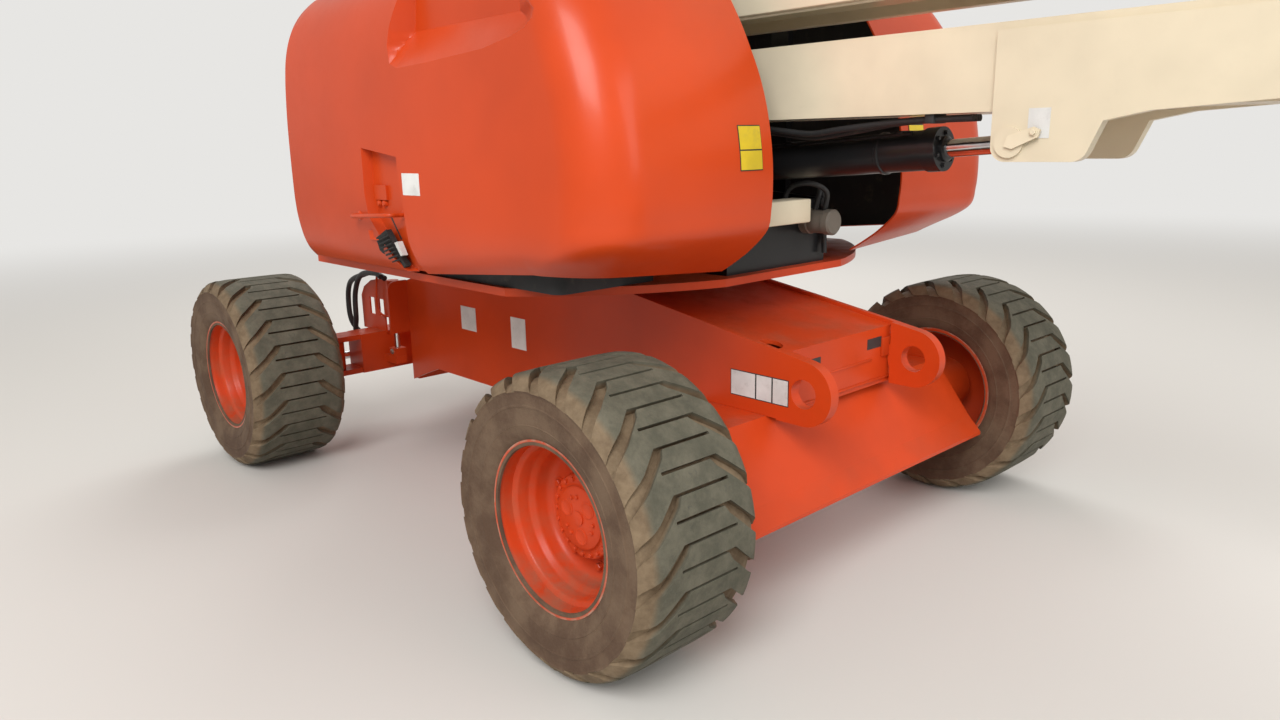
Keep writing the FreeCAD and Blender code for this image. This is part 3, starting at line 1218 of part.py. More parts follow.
def make_platform_bracket():
    back = platform_ends()[0] - S.seat_gap
    half = S.arm_half_wide_platform
    thick = S.arm_thick_platform
    parts = [block((back - S.back_plate_thick, back), both(S.back_plate_half),
                   (S.floor_height, S.rotator_high))]
    for height in (S.rotator_low, S.rotator_high - thick - S.weld):
        parts.append(block((S.rotator_place, back), both(half), (height, height + thick)))
        parts.append(rod("z", (S.rotator_place, 0), half, (height, height + thick)))
    piece("platform_bracket", fuse(*parts))


def make_console():
    start = rail_lines()[0][0] + S.post_radius + S.seat_gap
    end = start + S.console_deep
    top = S.rail_top - S.console_drop
    low = top - S.console_high
    outline = [(start, low), (start, top), (end, S.rail_top - S.console_lip), (end, low)]
    piece("control_console", plate("xz", outline, both(S.console_wide / 2)))


def build():
    make_wheels()
    make_chassis()
    make_drive_axle()
    make_steer_axle()
    make_knuckles()
    make_steering()
    make_lockouts()
    make_slewing_ring()
    make_turntable()
    make_counterweight()
    make_hoods()
    make_engine_and_tanks()
    make_lower_riser()
    make_lower_link()
    make_mid_upright()
    make_upper_riser()
    make_upper_link()
    make_upright()
    make_main_boom()
    make_fly_boom()
    make_cylinders()
    make_jib_knuckle()
    make_jib()
    make_platform_mount()
    make_platform_floor()
    make_platform_rails()
    make_platform_gate()
    make_platform_bracket()
    make_console()


def check_and_export():
    DOC.recompute()
    broken = [thing.Label for thing in DOC.Objects if "Invalid" in thing.State or "Error" in thing.State]
    for thing in PIECES:
        if thing.Shape.isNull() or not thing.Shape.isValid():
            broken.append(thing.Label)
    if broken:
        raise RuntimeError("Broken: " + ", ".join(broken))
    os.makedirs("parts", exist_ok=True)
    for thing in PIECES:
        thing.Shape.exportStep("parts/%s.step" % thing.Label)
        print(thing.Label, len(thing.Shape.Solids), round(thing.Shape.Volume / 1e6, 2))


build()
check_and_export()
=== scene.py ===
import functools
import math
import random

import bmesh
import bpy
from mathutils import Matrix, Vector
from mathutils.geometry import delaunay_2d_cdt


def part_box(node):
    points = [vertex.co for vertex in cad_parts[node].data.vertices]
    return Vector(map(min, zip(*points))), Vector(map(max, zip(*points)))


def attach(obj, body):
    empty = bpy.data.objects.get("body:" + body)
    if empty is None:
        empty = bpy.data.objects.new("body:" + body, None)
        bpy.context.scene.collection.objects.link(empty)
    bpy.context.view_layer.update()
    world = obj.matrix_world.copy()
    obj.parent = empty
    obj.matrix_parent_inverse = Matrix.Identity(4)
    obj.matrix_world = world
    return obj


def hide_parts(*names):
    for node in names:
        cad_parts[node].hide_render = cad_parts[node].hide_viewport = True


# Articulating boom lift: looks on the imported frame. Metres, +Z up, +X towards the platform.
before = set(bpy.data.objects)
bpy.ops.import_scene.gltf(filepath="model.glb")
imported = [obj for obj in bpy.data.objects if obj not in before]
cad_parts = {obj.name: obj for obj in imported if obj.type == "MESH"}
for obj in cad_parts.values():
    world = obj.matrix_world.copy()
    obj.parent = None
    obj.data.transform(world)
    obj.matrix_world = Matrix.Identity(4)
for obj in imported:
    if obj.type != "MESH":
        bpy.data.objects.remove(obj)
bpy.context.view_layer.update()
SIDES = (("left", 1), ("right", -1))
AHEAD, LEFT, RIGHT, UP = (1, 0, 0), (0, 1, 0), (0, -1, 0), (0, 0, 1)
SEED = 7
TINY = 1e-6

# The swing centre's X in the frame, from the slewing ring's own box
RING_LOW, RING_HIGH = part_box("slewing_ring")
SWING_X = (RING_LOW.x + RING_HIGH.x) / 2

# Camera at the photograph's view, solved from the wheels: place from the swing centre, angles in degrees
CAMERA_PLACE = (2.95902, -2.43585, 1.4)
CAMERA_YAW = 47.3319
CAMERA_PITCH = 13.617
CAMERA_ROLL = -1.1486
CAMERA_LENS = 25.45
SENSOR_WIDTH = 36
CAMERA_REACH = 200


def add_camera():
    yaw, pitch, roll = (math.radians(angle) for angle in (CAMERA_YAW, CAMERA_PITCH, CAMERA_ROLL))
    ahead = Vector((-math.sin(yaw) * math.cos(pitch), math.cos(yaw) * math.cos(pitch), -math.sin(pitch)))
    across = ahead.cross(Vector(UP)).normalized()
    up = across.cross(ahead)
    right = across * math.cos(roll) + up * math.sin(roll)
    top = up * math.cos(roll) - across * math.sin(roll)
    data = bpy.data.cameras.new("camera")
    data.lens = CAMERA_LENS
    data.sensor_width = SENSOR_WIDTH
    data.clip_end = CAMERA_REACH
    camera = bpy.data.objects.new("camera", data)
    bpy.context.scene.collection.objects.link(camera)
    turn = Matrix((right, top, -ahead)).transposed().to_4x4()
    camera.matrix_world = Matrix.Translation(Vector(CAMERA_PLACE) + Vector((SWING_X, 0, 0))) @ turn
    bpy.context.scene.camera = camera


# Node helpers

# Sockets of a colour mix: factor, first colour, second colour
MIX_SOCKETS = (0, 6, 7)
MIX_RESULT = 2


class Nodes:
    """Adds nodes to a tree."""

    def __init__(self, tree):
        self.tree = tree

    def add(self, kind, **values):
        """A node with its settings, and with inputs where it has no setting of that name."""
        made = self.tree.nodes.new("ShaderNode" + kind)
        for name, value in values.items():
            if hasattr(made, name):
                setattr(made, name, value)
            else:
                made.inputs[name.replace("_", " ")].default_value = value
        return made

    def fill(self, socket, value):
        """Give a socket a colour, a number or another node's output."""
        if isinstance(value, tuple):
            socket.default_value = (*value, 1.0)
        elif isinstance(value, (int, float)):
            socket.default_value = value
        else:
            self.tree.links.new(value, socket)

    def ramp(self, value, low, high, start=0.0, end=1.0):
        """From start to end, eased, as the value goes from low to high."""
        made = self.add("MapRange", clamp=True, interpolation_type="SMOOTHSTEP",
                        From_Min=low, From_Max=high, To_Min=start, To_Max=end)
        self.fill(made.inputs["Value"], value)
        return made.outputs["Result"]

    def join(self, operation, first, second):
        made = self.add("Math", operation=operation, use_clamp=operation == "MULTIPLY")
        self.fill(made.inputs[0], first)
        self.fill(made.inputs[1], second)
        return made.outputs[0]

    def times(self, first, second):
        return self.join("MULTIPLY", first, second)

    def mix(self, factor, first, second):
        made = self.add("Mix", data_type="RGBA")
        for place, value in zip(MIX_SOCKETS, (factor, first, second)):
            self.fill(made.inputs[place], value)
        return made.outputs[MIX_RESULT]

    def length(self, vector):
        made = self.add("VectorMath", operation="LENGTH")
        self.fill(made.inputs[0], vector)
        return made.outputs["Value"]


class Finish(Nodes):
    """A material with its shader, its patterns in object coordinates."""

    def __init__(self, name):
        self.material = bpy.data.materials.new(name)
        self.material.use_nodes = True
        super().__init__(self.material.node_tree)
        self.shader = self.tree.nodes["Principled BSDF"]
        self.places = self.add("TexCoord")
        self.where = self.places.outputs["Object"]

    def noise(self, scale, detail=4.0, roughness=0.55):
        made = self.add("TexNoise", Scale=scale, Detail=detail, Roughness=roughness)
        self.fill(made.inputs["Vector"], self.where)
        return made.outputs["Fac"]

    def split(self, vector):
        made = self.add("SeparateXYZ")
        self.fill(made.inputs[0], vector)
        return made.outputs

    def facing_up(self):
        return self.split(self.places.outputs["Normal"])["Z"]

    def axle_distance(self):
        """How far a point lies from a wheel's axle, which runs along Y."""
        parts = self.split(self.where)
        flat = self.add("CombineXYZ")
        for name in "XZ":
            self.fill(flat.inputs[name], parts[name])
        return self.length(flat.outputs[0])

    def give(self, **values):
        """Fill the shader's sockets."""
        for name, value in values.items():
            self.fill(self.shader.inputs[name.replace("_", " ")], value)

    def bump(self, height, strength, distance):
        made = self.add("Bump", Strength=strength, Distance=distance)
        self.fill(made.inputs["Height"], height)
        self.fill(self.shader.inputs["Normal"], made.outputs["Normal"])


# Finishes

PAINT_SHINE = 0.25
RUBBER_SHINE = 0.3
COAT_ROUGHNESS = 0.16
BARE_FLANGE = (0.4, 0.3, 0.22)
RIM_DIRT = (0.3, 0.14, 0.08)
DRY_EARTH = (0.15, 0.11, 0.07)


def darker(colour, share, least=0.0):
    return tuple(part * share + least for part in colour)


def paint(name, colour, dust=0.35, gloss=0.32, coat=0.25, grime=(0.16, 0.11, 0.07), worn=0.5, scale=1.0,
          flange=None):
    """Sprayed paint: slight mottling, dust that settles on what faces up, faint orange peel and scuffs.
    A wheel's flange, from that radius out, is scraped pale."""
    make = Finish(name)
    fine = make.noise(34 * scale, 6.0, 0.7)
    mottled = make.mix(make.ramp(make.noise(1.7 * scale), 0.3, 0.7), colour, darker(colour, 0.8))
    chips = make.ramp(make.noise(21 * scale, 8.0, 0.75), 0.7, 0.74, 0.0, worn)
    cloud = make.ramp(make.noise(6.5 * scale, 6.0, 0.65), 0.36, 0.72)
    settled = make.times(make.times(make.ramp(make.facing_up(), 0.55, 0.98), cloud), dust)
    film = make.times(make.ramp(fine, 0.5, 0.8), 0.12 * dust)
    dusty = make.join("MAXIMUM", settled, film)
    final = make.mix(dusty, make.mix(chips, mottled, darker(colour, 0.45)), grime)
    if flange:
        radius = make.axle_distance()
        patches = make.ramp(make.noise(38, 6.0, 0.7), 0.38, 0.66, 0.05, 0.75)
        final = make.mix(make.times(make.ramp(radius, flange, flange + 0.004), patches), final, BARE_FLANGE)
        dish = make.ramp(radius, flange - 0.1, flange, 0.0, 0.35)
        final = make.mix(make.times(dish, cloud), final, RIM_DIRT)
    rough = make.join("ADD", dusty, make.times(fine, 0.25))
    make.give(Base_Color=final, Roughness=make.ramp(rough, 0.0, 0.8, gloss, 0.85),
              Specular_IOR_Level=PAINT_SHINE, Coat_Weight=coat, Coat_Roughness=COAT_ROUGHNESS)
    make.bump(make.noise(160 * scale, 2.0), 0.05, 0.001)
    return make.material


def steel(name, colour, rough):
    """Metal with fine streaks and a little grime."""
    make = Finish(name)
    streak = make.noise(60, 5.0, 0.7)
    grime = make.ramp(make.noise(9, 5.0), 0.45, 0.75, 0.0, 0.55)
    make.give(Base_Color=make.mix(grime, colour, darker(colour, 0.45)),
              Roughness=make.ramp(streak, 0.2, 0.8, rough, rough + 0.1), Metallic=1.0)
    make.bump(streak, 0.05, 0.001)
    return make.material


def rubber_tread():
    """Worn tread: grey-green tops, brown earth in the grooves and down the shoulders."""
    make = Finish("tread_rubber")
    clods = make.noise(16, 8.0, 0.7)
    fine = make.noise(130, 5.0, 0.7)
    top = make.ramp(make.join("ADD", make.axle_distance(), make.times(clods, 0.012)), 0.408, 0.4225)
    worn_top = make.mix(make.ramp(clods, 0.35, 0.7), (0.078, 0.075, 0.054), (0.128, 0.118, 0.086))
    scuffs = make.ramp(make.noise(45, 8.0, 0.8), 0.56, 0.7, 0.0, 0.6)
    earth = make.mix(make.ramp(clods, 0.3, 0.7), (0.125, 0.085, 0.05), (0.215, 0.155, 0.095))
    make.give(Base_Color=make.mix(top, earth, make.mix(scuffs, worn_top, (0.045, 0.05, 0.046))),
              Roughness=make.ramp(fine, 0.3, 0.7, 0.72, 0.95), Specular_IOR_Level=RUBBER_SHINE)
    cuts = make.ramp(make.noise(60, 9.0, 0.8), 0.62, 0.66, 1.0, 0.0)
    make.bump(make.join("ADD", make.times(fine, 0.5), make.times(cuts, 0.7)), 0.55, 0.003)
    return make.material


def rubber_wall():
    """Sidewall: brown dust over smooth rubber."""
    make = Finish("sidewall_rubber")
    broad = make.noise(7, 7.0, 0.65)
    fine = make.noise(150, 5.0, 0.7)
    brown = make.mix(make.ramp(broad, 0.35, 0.65), (0.09, 0.052, 0.032), (0.15, 0.098, 0.062))
    spots = make.ramp(make.noise(55, 8.0, 0.8), 0.62, 0.7, 0.0, 0.5)
    make.give(Base_Color=make.mix(spots, brown, (0.235, 0.175, 0.115)),
              Roughness=make.ramp(fine, 0.3, 0.7, 0.68, 0.9), Specular_IOR_Level=RUBBER_SHINE)
    make.bump(make.join("ADD", fine, make.times(broad, 1.5)), 0.35, 0.002)
    return make.material


def grip_plate():
    """Grey floor plate with raised diamonds, earth lying between them."""
    make = Finish("grip_plate")
    turned = make.add("Mapping", Rotation=(0, 0, math.radians(45)))
    make.fill(turned.inputs["Vector"], make.where)
    cells = make.add("TexVoronoi", distance="CHEBYCHEV", Scale=26.0, Randomness=0.0)
    make.fill(cells.inputs["Vector"], turned.outputs["Vector"])
    raised = make.ramp(cells.outputs["Distance"], 0.22, 0.34, 1.0, 0.0)
    dirt = make.ramp(make.noise(7, 6.0), 0.35, 0.7, 0.15, 0.8)
    low = make.mix(dirt, (0.3, 0.29, 0.27), DRY_EARTH)
    make.give(Base_Color=make.mix(raised, low, (0.46, 0.45, 0.42)),
              Roughness=make.ramp(raised, 0.0, 1.0, 0.75, 0.42))
    make.bump(raised, 0.6, 0.002)
    return make.material


def moulded(name, colour, rough=0.6, grain=420):
    """Moulded plastic or hose rubber with a fine grain and a film of dust."""
    make = Finish(name)
    broad = make.noise(5, 5.0)
    dust = make.ramp(make.noise(24, 7.0, 0.7), 0.52, 0.78, 0.0, 0.35)
    base = make.mix(make.ramp(broad, 0.3, 0.7), colour, darker(colour, 0.7, 0.004))
    make.give(Base_Color=make.mix(dust, base, (0.16, 0.125, 0.09)),
              Roughness=make.ramp(broad, 0.3, 0.7, rough, rough + 0.15))
    make.bump(make.noise(grain, 2.0), 0.25, 0.0008)
    return make.material


MATERIALS = {
    "orange": paint("orange_paint", (0.6, 0.056, 0.009), dust=0.3, coat=0.04),
    "hood": paint("hood_gloss", (0.61, 0.06, 0.009), dust=0.16, gloss=0.3, coat=0.12, worn=0.1, scale=0.6),
    "rim": paint("rim_paint", (0.6, 0.054, 0.01), dust=0.45, gloss=0.38, coat=0.06, scale=1.6,
                 flange=0.2355),
    "cream": paint("cream_paint", (0.8, 0.7, 0.52), dust=0.25, gloss=0.38, worn=0.25),
    "black": paint("black_paint", (0.014, 0.014, 0.015), dust=0.5, gloss=0.3, worn=0.0,
                   grime=(0.09, 0.075, 0.06)),
    "grey": paint("platform_grey", (0.5, 0.49, 0.46), dust=0.4, gloss=0.45),
    "cast": paint("cast_metal", (0.035, 0.035, 0.036), dust=0.6, gloss=0.55, coat=0.0, worn=0.0),
    "chrome": steel("chrome_rod", (0.74, 0.74, 0.75), 0.1),
    "zinc": steel("zinc_fittings", (0.48, 0.46, 0.42), 0.34),
    "tread": rubber_tread(),
    "wall": rubber_wall(),
    "grip": grip_plate(),
    "plastic": moulded("black_plastic", (0.022, 0.022, 0.024)),
    "hose": moulded("hose_rubber", (0.016, 0.016, 0.017), rough=0.5),
    "motor": moulded("motor_grey", (0.15, 0.125, 0.1), rough=0.55),
    "label": moulded("blank_label", (0.8, 0.8, 0.78), rough=0.4),
    "yellow": moulded("yellow_label", (0.85, 0.62, 0.02), rough=0.4),
    # Black label ink; the same dark finish also paints the shade inside the slots of the latch and the end
    # wall
    "ink_and_slot_shade": moulded("label_ink_and_slot_shade", (0.03, 0.03, 0.03), rough=0.5),
    "ridge": moulded("ridged_rubber", (0.02, 0.02, 0.02), rough=0.7, grain=160),
    "red": moulded("red_knob", (0.5, 0.02, 0.02), rough=0.35),
}


# Mesh helpers

WELD_GAP = 0.00002


def spread(start, long, count, last=0):
    """Places at even steps over a length, with its end where last is 1."""
    return [start + long * step / count for step in range(count + last)]


def between(rows, value, column=1):
    """A column's value from rows of (place, values), on straight lines between the rows."""
    if value <= rows[0][0]:
        return rows[0][column]
    for first, second in zip(rows, rows[1:]):
        if value <= second[0]:
            share = second[column] - first[column]
            return first[column] + share * (value - first[0]) / (second[0] - first[0])
    return rows[-1][column]


def shown(name, mesh, body, at=(0, 0, 0)):
    """Put a mesh in the scene, on the body that it rides on."""
    made = bpy.data.objects.new(name, mesh)
    bpy.context.scene.collection.objects.link(made)
    made.location = at
    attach(made, body)
    return made


def finished(mesh, *materials):
    """Give a mesh its finishes and smooth shading."""
    for material in materials:
        mesh.materials.append(MATERIALS[material])
    mesh.polygons.foreach_set("use_smooth", [True] * len(mesh.polygons))
    return mesh


def mirrored(mesh):
    other = mesh.copy()
    other.transform(Matrix.Scale(-1, 4, LEFT))
    other.flip_normals()
    return other


def soften(thing, width, angle=40):
    """Round off the sharp edges of a welded copy of the mesh."""
    weld = thing.modifiers.new("weld", "WELD")
    weld.merge_threshold = WELD_GAP
    bevel = thing.modifiers.new("edges", "BEVEL")
    bevel.width = width
    bevel.segments = 2
    bevel.limit_method = "ANGLE"
    bevel.angle_limit = math.radians(angle)
    normals = thing.modifiers.new("normals", "WEIGHTED_NORMAL")
    normals.keep_sharp = True


def add_creases(thing, angle):
    """Keep edges sharp where the faces meet at more than the angle."""
    creases = thing.modifiers.new("creases", "EDGE_SPLIT")
    creases.split_angle = math.radians(angle)


def mesh_of(name, bm):
    """The drawing as a mesh, its faces turned outwards."""
    bmesh.ops.recalc_face_normals(bm, faces=bm.faces[:])
    mesh = bpy.data.meshes.new(name)
    bm.to_mesh(mesh)
    bm.free()
    return mesh


def drawn(name, shapes):
    """A mesh from rows that each hold a function and what it draws."""
    bm = bmesh.new()
    for draw, *values in shapes:
        draw(bm, *values)
    return mesh_of(name, bm)


def join_rows(bm, rows, closed=False):
    """Faces between neighbouring rows of points, which are rings where closed."""
    faces = []
    for first, second in zip(rows, rows[1:]):
        for step in range(len(first) - 1 + closed):
            after = (step + 1) % len(first)
            faces.append(bm.faces.new((first[step], first[after], second[after], second[step])))
    return faces


def add_ring(bm, middle, side, other, radius, steps):
    return [bm.verts.new(middle + (side * math.cos(angle) + other * math.sin(angle)) * radius)
            for angle in spread(0, 2 * math.pi, steps)]


def add_block(bm, low, high, bevel, turn=None):
    """A block between two corners, its edges rounded, turned about its own middle."""
    low, high = Vector(low), Vector(high)
    made = bmesh.ops.create_cube(bm, size=1.0)["verts"]
    bmesh.ops.scale(bm, vec=high - low, verts=made)
    edges = list({edge for vert in made for edge in vert.link_edges})
    made = bmesh.ops.bevel(bm, geom=edges, offset=bevel, segments=2, affect="EDGES", profile=0.5)["verts"]
    if turn is not None:
        bmesh.ops.transform(bm, matrix=turn.to_4x4(), verts=made)
    bmesh.ops.translate(bm, vec=(low + high) / 2, verts=made)


def add_turned(bm, profile, steps, centre, axis):
    """A turned form about an axis through centre, from points (radius, distance along the axis)."""
    axis = Vector(axis).normalized()
    side = axis.orthogonal().normalized()
    other = axis.cross(side)
    rings = [add_ring(bm, Vector(centre) + axis * along, side, other, radius, steps)
             for radius, along in profile]
    join_rows(bm, rings, True)
    for end in (0, -1):
        if profile[end][0] > TINY:
            bm.faces.new(rings[end])


def add_bolt(bm, centre, axis, radius, high):
    """A hexagon head on a washer."""
    add_turned(bm, ((radius * 1.35, 0), (radius * 1.35, high * 0.22)), 16, centre, axis)
    add_turned(bm, ((radius, high * 0.2), (radius, high * 0.85), (radius * 0.8, high)), 6, centre, axis)


def add_tube(bm, points, radius, sides=12, uneven=0.0):
    """A round tube along points, each ring square to the way it goes, its thickness a little uneven."""
    points = [Vector(point) for point in points]
    ways = [(points[min(place + 1, len(points) - 1)] - points[max(place - 1, 0)]).normalized()
            for place in range(len(points))]
    side = ways[0].orthogonal().normalized()
    rings = []
    for point, way in zip(points, ways):
        side = (side - way * side.dot(way)).normalized()
        wide = radius * (1 + random.uniform(-uneven, uneven))
        rings.append(add_ring(bm, point, side, way.cross(side), wide, sides))
    join_rows(bm, rings, True)
    bm.faces.new(rings[0])
    bm.faces.new(rings[-1])


def add_hose(bm, points, radius, steps=8, sides=12, uneven=0.0):
    """A tube along a smooth line through the points."""
    points = [Vector(point) for point in points]
    ends = [points[0] * 2 - points[1]] + points + [points[-1] * 2 - points[-2]]
    line = []
    for place in range(len(points) - 1):
        a, b, c, d = ends[place:place + 4]
        for t in spread(0, 1, steps):
            line.append(0.5 * ((2 * b) + (c - a) * t + (2 * a - 5 * b + 4 * c - d) * t * t
                               + (3 * b - a - 3 * c + d) * t ** 3))
    add_tube(bm, line + points[-1:], radius, sides, uneven)


class Sheet:
    """An unrolled surface, drawn as points and lines, that is cut into faces along the lines."""

    def __init__(self):
        self.points = []
        self.edges = []

    def add_line(self, line, closed=False):
        first = len(self.points)
        self.points.extend(Vector(point) for point in line)
        for step in range(len(line) - 1 + closed):
            self.edges.append((first + step, first + (step + 1) % len(line)))

    def cut(self, low, high):
        """The corners, and each face between low and high with its middle."""
        verts, _, faces, _, _, _ = delaunay_2d_cdt(self.points, self.edges, [], 0, TINY)
        found = []
        for face in faces:
            middle = sum((verts[number] for number in face), Vector((0, 0))) / len(face)
            if low[0] < middle.x < high[0] and low[1] < middle.y < high[1]:
                found.append((face, middle))
        return verts, found


def inside(point, outline):
    found = False
    x, y = point
    for last, corner in zip(outline[-1:] + outline[:-1], outline):
        if (corner[1] > y) != (last[1] > y):
            if x < (last[0] - corner[0]) * (y - corner[1]) / (last[1] - corner[1]) + corner[0]:
                found = not found
    return found


# Tyres

TYRE_RADIUS = 0.419
LUGS = 22
LUG_PITCH = 2 * math.pi * TYRE_RADIUS / LUGS
AROUND = LUGS * LUG_PITCH
TREAD_EDGE = 0.23
TREAD_LINES = (0.15, 0.168, 0.182, 0.205, TREAD_EDGE)
GROOVE_FLAT = 0.004
# Outline of one groove in the unrolled tread: (across from the middle, along the way that the tyre turns)
GROOVE = ((-0.1, -GROOVE_FLAT), (0.064, -GROOVE_FLAT), (0.078, -0.026), (0.15, -0.09), (0.232, -0.15),
          (0.232, -0.106), (0.15, -0.05), (0.088, GROOVE_FLAT), (-0.1, GROOVE_FLAT))
# Half sections of the tread's top and of the grooves' floor: (across, radius, place along the axle)
TREAD = (
    ((0.0, 0.419, 0.0), (0.1, 0.4188, 0.1), (0.15, 0.4172, 0.149), (0.168, 0.414, 0.166),
     (0.182, 0.406, 0.1785), (0.205, 0.388, 0.193), (0.222, 0.377, 0.201), (0.23, 0.3745, 0.203)),
    ((0.0, 0.397, 0.0), (0.15, 0.3955, 0.149), (0.182, 0.389, 0.174), (0.205, 0.38, 0.188),
     (0.222, 0.373, 0.197), (0.23, 0.3715, 0.201)),
)
# Sidewall from the tread's foot to the bead: (radius, place along the axle)
WALL = ((0.37, 0.2015), (0.366, 0.199), (0.356, 0.1985), (0.34, 0.199), (0.337, 0.2015), (0.333, 0.2015),
        (0.33, 0.199), (0.305, 0.1975), (0.285, 0.195), (0.283, 0.1965), (0.28, 0.1945), (0.262, 0.19),
        (0.248, 0.183), (0.243, 0.177), (0.226, 0.177), (0.2246, 0.17))
JOIN_GAP = 0.00005
FLAT_ENOUGH = math.radians(1.0)
TYRE_EDGE = 0.0022
TYRE_ANGLE = 38


def round_axle(radius, place, along):
    angle = along / TYRE_RADIUS
    return Vector((radius * math.cos(angle), place, radius * math.sin(angle)))


def grooves():
    """Every groove's outline: one row from each shoulder, half a pitch apart, mirrored."""
    outlines = []
    for number in range(-1, LUGS + 2):
        for side, shift in ((1, 0.0), (-1, 0.5)):
            start = (number + shift) * LUG_PITCH
            outline = [(side * across, start + along) for across, along in GROOVE]
            outlines.append(outline if side > 0 else outline[::-1])
    return outlines


def tyre_mesh():
    """The tread is unrolled, cut into tops and grooves, and rolled up again; the sidewalls join its feet."""
    outlines = grooves()
    sheet = Sheet()
    for outline in outlines:
        sheet.add_line(outline, True)
    for across in [-place for place in TREAD_LINES[::-1]] + list(TREAD_LINES):
        sheet.add_line([(across, 0.0), (across, AROUND)])
    for along in spread(0, AROUND, 4 * LUGS, 1):
        sheet.add_line([(-TREAD_EDGE, along), (TREAD_EDGE, along)])
    verts, faces = sheet.cut((-TREAD_EDGE, 0), (TREAD_EDGE, AROUND))
    bm = bmesh.new()
    corners = ({}, {})

    def corner(number, low):
        if number not in corners[low]:
            across, along = verts[number]
            radius = between(TREAD[low], abs(across))
            place = math.copysign(between(TREAD[low], abs(across), 2), across)
            corners[low][number] = bm.verts.new(round_axle(radius, place, along))
        return corners[low][number]

    sides = {}
    for face, middle in faces:
        low = any(inside(middle, outline) for outline in outlines)
        bm.faces.new([corner(number, low) for number in face])
        for here, after in zip(face, face[1:] + face[:1]):
            sides.setdefault(frozenset((here, after)), []).append((low, here, after))
    for found in sides.values():
        if len({row[0] for row in found}) == 2:
            _, a, b = min(found)
            bm.faces.new((corner(b, False), corner(a, False), corner(a, True), corner(b, True)))
    for found in sides.values():
        low, a, b = found[0]
        edge = abs(abs(verts[a].x) - TREAD_EDGE) < TINY and abs(verts[a].x - verts[b].x) < TINY
        if len(found) == 1 and edge:
            side = math.copysign(1, verts[a].x)
            lines = [[corner(number, low)] + [bm.verts.new(round_axle(radius, side * place, verts[number].y))
                                              for radius, place in WALL] for number in (a, b)]
            for face in join_rows(bm, list(zip(*lines))):
                face.material_index = 1
    bmesh.ops.remove_doubles(bm, verts=bm.verts[:], dist=JOIN_GAP)
    bmesh.ops.recalc_face_normals(bm, faces=bm.faces[:])
    bmesh.ops.dissolve_limit(bm, angle_limit=FLAT_ENOUGH, verts=bm.verts[:], edges=bm.edges[:],
                             delimit={"MATERIAL"})
    return finished(mesh_of("tyre", bm), "tread", "wall")


# Rims

# Section from the back over the rear and front flanges in to the hub: (radius, place outwards)
RIM = ((0.13, 0.005), (0.21, 0.005), (0.208, -0.09), (0.216, -0.16), (0.23, -0.1775), (0.242, -0.1775),
       (0.2415, -0.172), (0.225, -0.17), (0.2415, 0.1715), (0.242, 0.1775), (0.24, 0.178), (0.233, 0.1765),
       (0.228, 0.17), (0.2265, 0.15), (0.224, 0.13), (0.213, 0.124), (0.209, 0.118), (0.2075, 0.09),
       (0.205, 0.083), (0.196, 0.074), (0.193, 0.064), (0.1915, 0.04), (0.184, 0.027), (0.17, 0.02),
       (0.15, 0.019), (0.13, 0.019), (0.1275, 0.021), (0.126, 0.03), (0.12, 0.036), (0.1185, 0.042),
       (0.1185, 0.056), (0.115, 0.06), (0.096, 0.0605), (0.09, 0.064), (0.088, 0.069), (0.083, 0.0718),
       (0.0, 0.0718))
PORT = ((0.0245, 0.0), (0.0245, 0.003), (0.0215, 0.0042), (0.0185, 0.003), (0.0165, 0.0022), (0.0, 0.0022))
PORT_TURN = 0.35
HUB_MIDDLE = ((0.02, 0.071), (0.02, 0.0755), (0.013, 0.0765), (0.0, 0.0765))
# Bolts on a circle: count, circle's radius, place outwards, turn, head's radius and height
RIM_BOLTS = ((20, 0.106, 0.06, 0.0, 0.0065, 0.0065), (9, 0.15, 0.019, math.pi / 9, 0.011, 0.016),
             (3, 0.06, 0.0712, PORT_TURN + 0.75, 0.0062, 0.0055),
             (3, 0.06, 0.0712, PORT_TURN + 1.15, 0.0062, 0.0055))
RIM_ANGLE = 38


def on_circle(count, radius, out, turn):
    return [(radius * math.cos(angle), out, radius * math.sin(angle))
            for angle in spread(turn, 2 * math.pi, count)]


def rim_shapes():
    """The dished rim with its hub drive: rings of bolts, three recessed ports and a raised middle."""
    yield add_turned, RIM, 96, (0, 0, 0), LEFT
    for count, radius, out, turn, head, high in RIM_BOLTS:
        for spot in on_circle(count, radius, out, turn):
            yield add_bolt, spot, LEFT, head, high
    for spot in on_circle(3, 0.052, 0.07, PORT_TURN):
        yield add_turned, PORT, 28, spot, LEFT
    yield add_turned, HUB_MIDDLE, 24, (0, 0, 0), LEFT


def middle_of(name):
    low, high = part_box(name)
    return (low + high) / 2


def make_wheels():
    tyre = tyre_mesh()
    rim = finished(drawn("rim", rim_shapes()), "rim")
    for wheel, side in (("%s_%s" % (end, word), side) for end in ("drive", "steer") for word, side in SIDES):
        centre = middle_of("rim_" + wheel)
        centre.y = middle_of("tyre_" + wheel).y
        rubber = shown("worn_tyre_" + wheel, tyre, "wheel_" + wheel, centre)
        soften(rubber, TYRE_EDGE, TYRE_ANGLE)
        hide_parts("tyre_" + wheel)
        disc = shown("dished_rim_" + wheel, rim, "wheel_" + wheel)
        disc.matrix_parent_inverse = Matrix.Identity(4)
        disc.matrix_world = Matrix.Translation(centre) @ Matrix.Rotation(0 if side > 0 else math.pi, 4, "Z")
        add_creases(disc, RIM_ANGLE)
        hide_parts("rim_" + wheel)


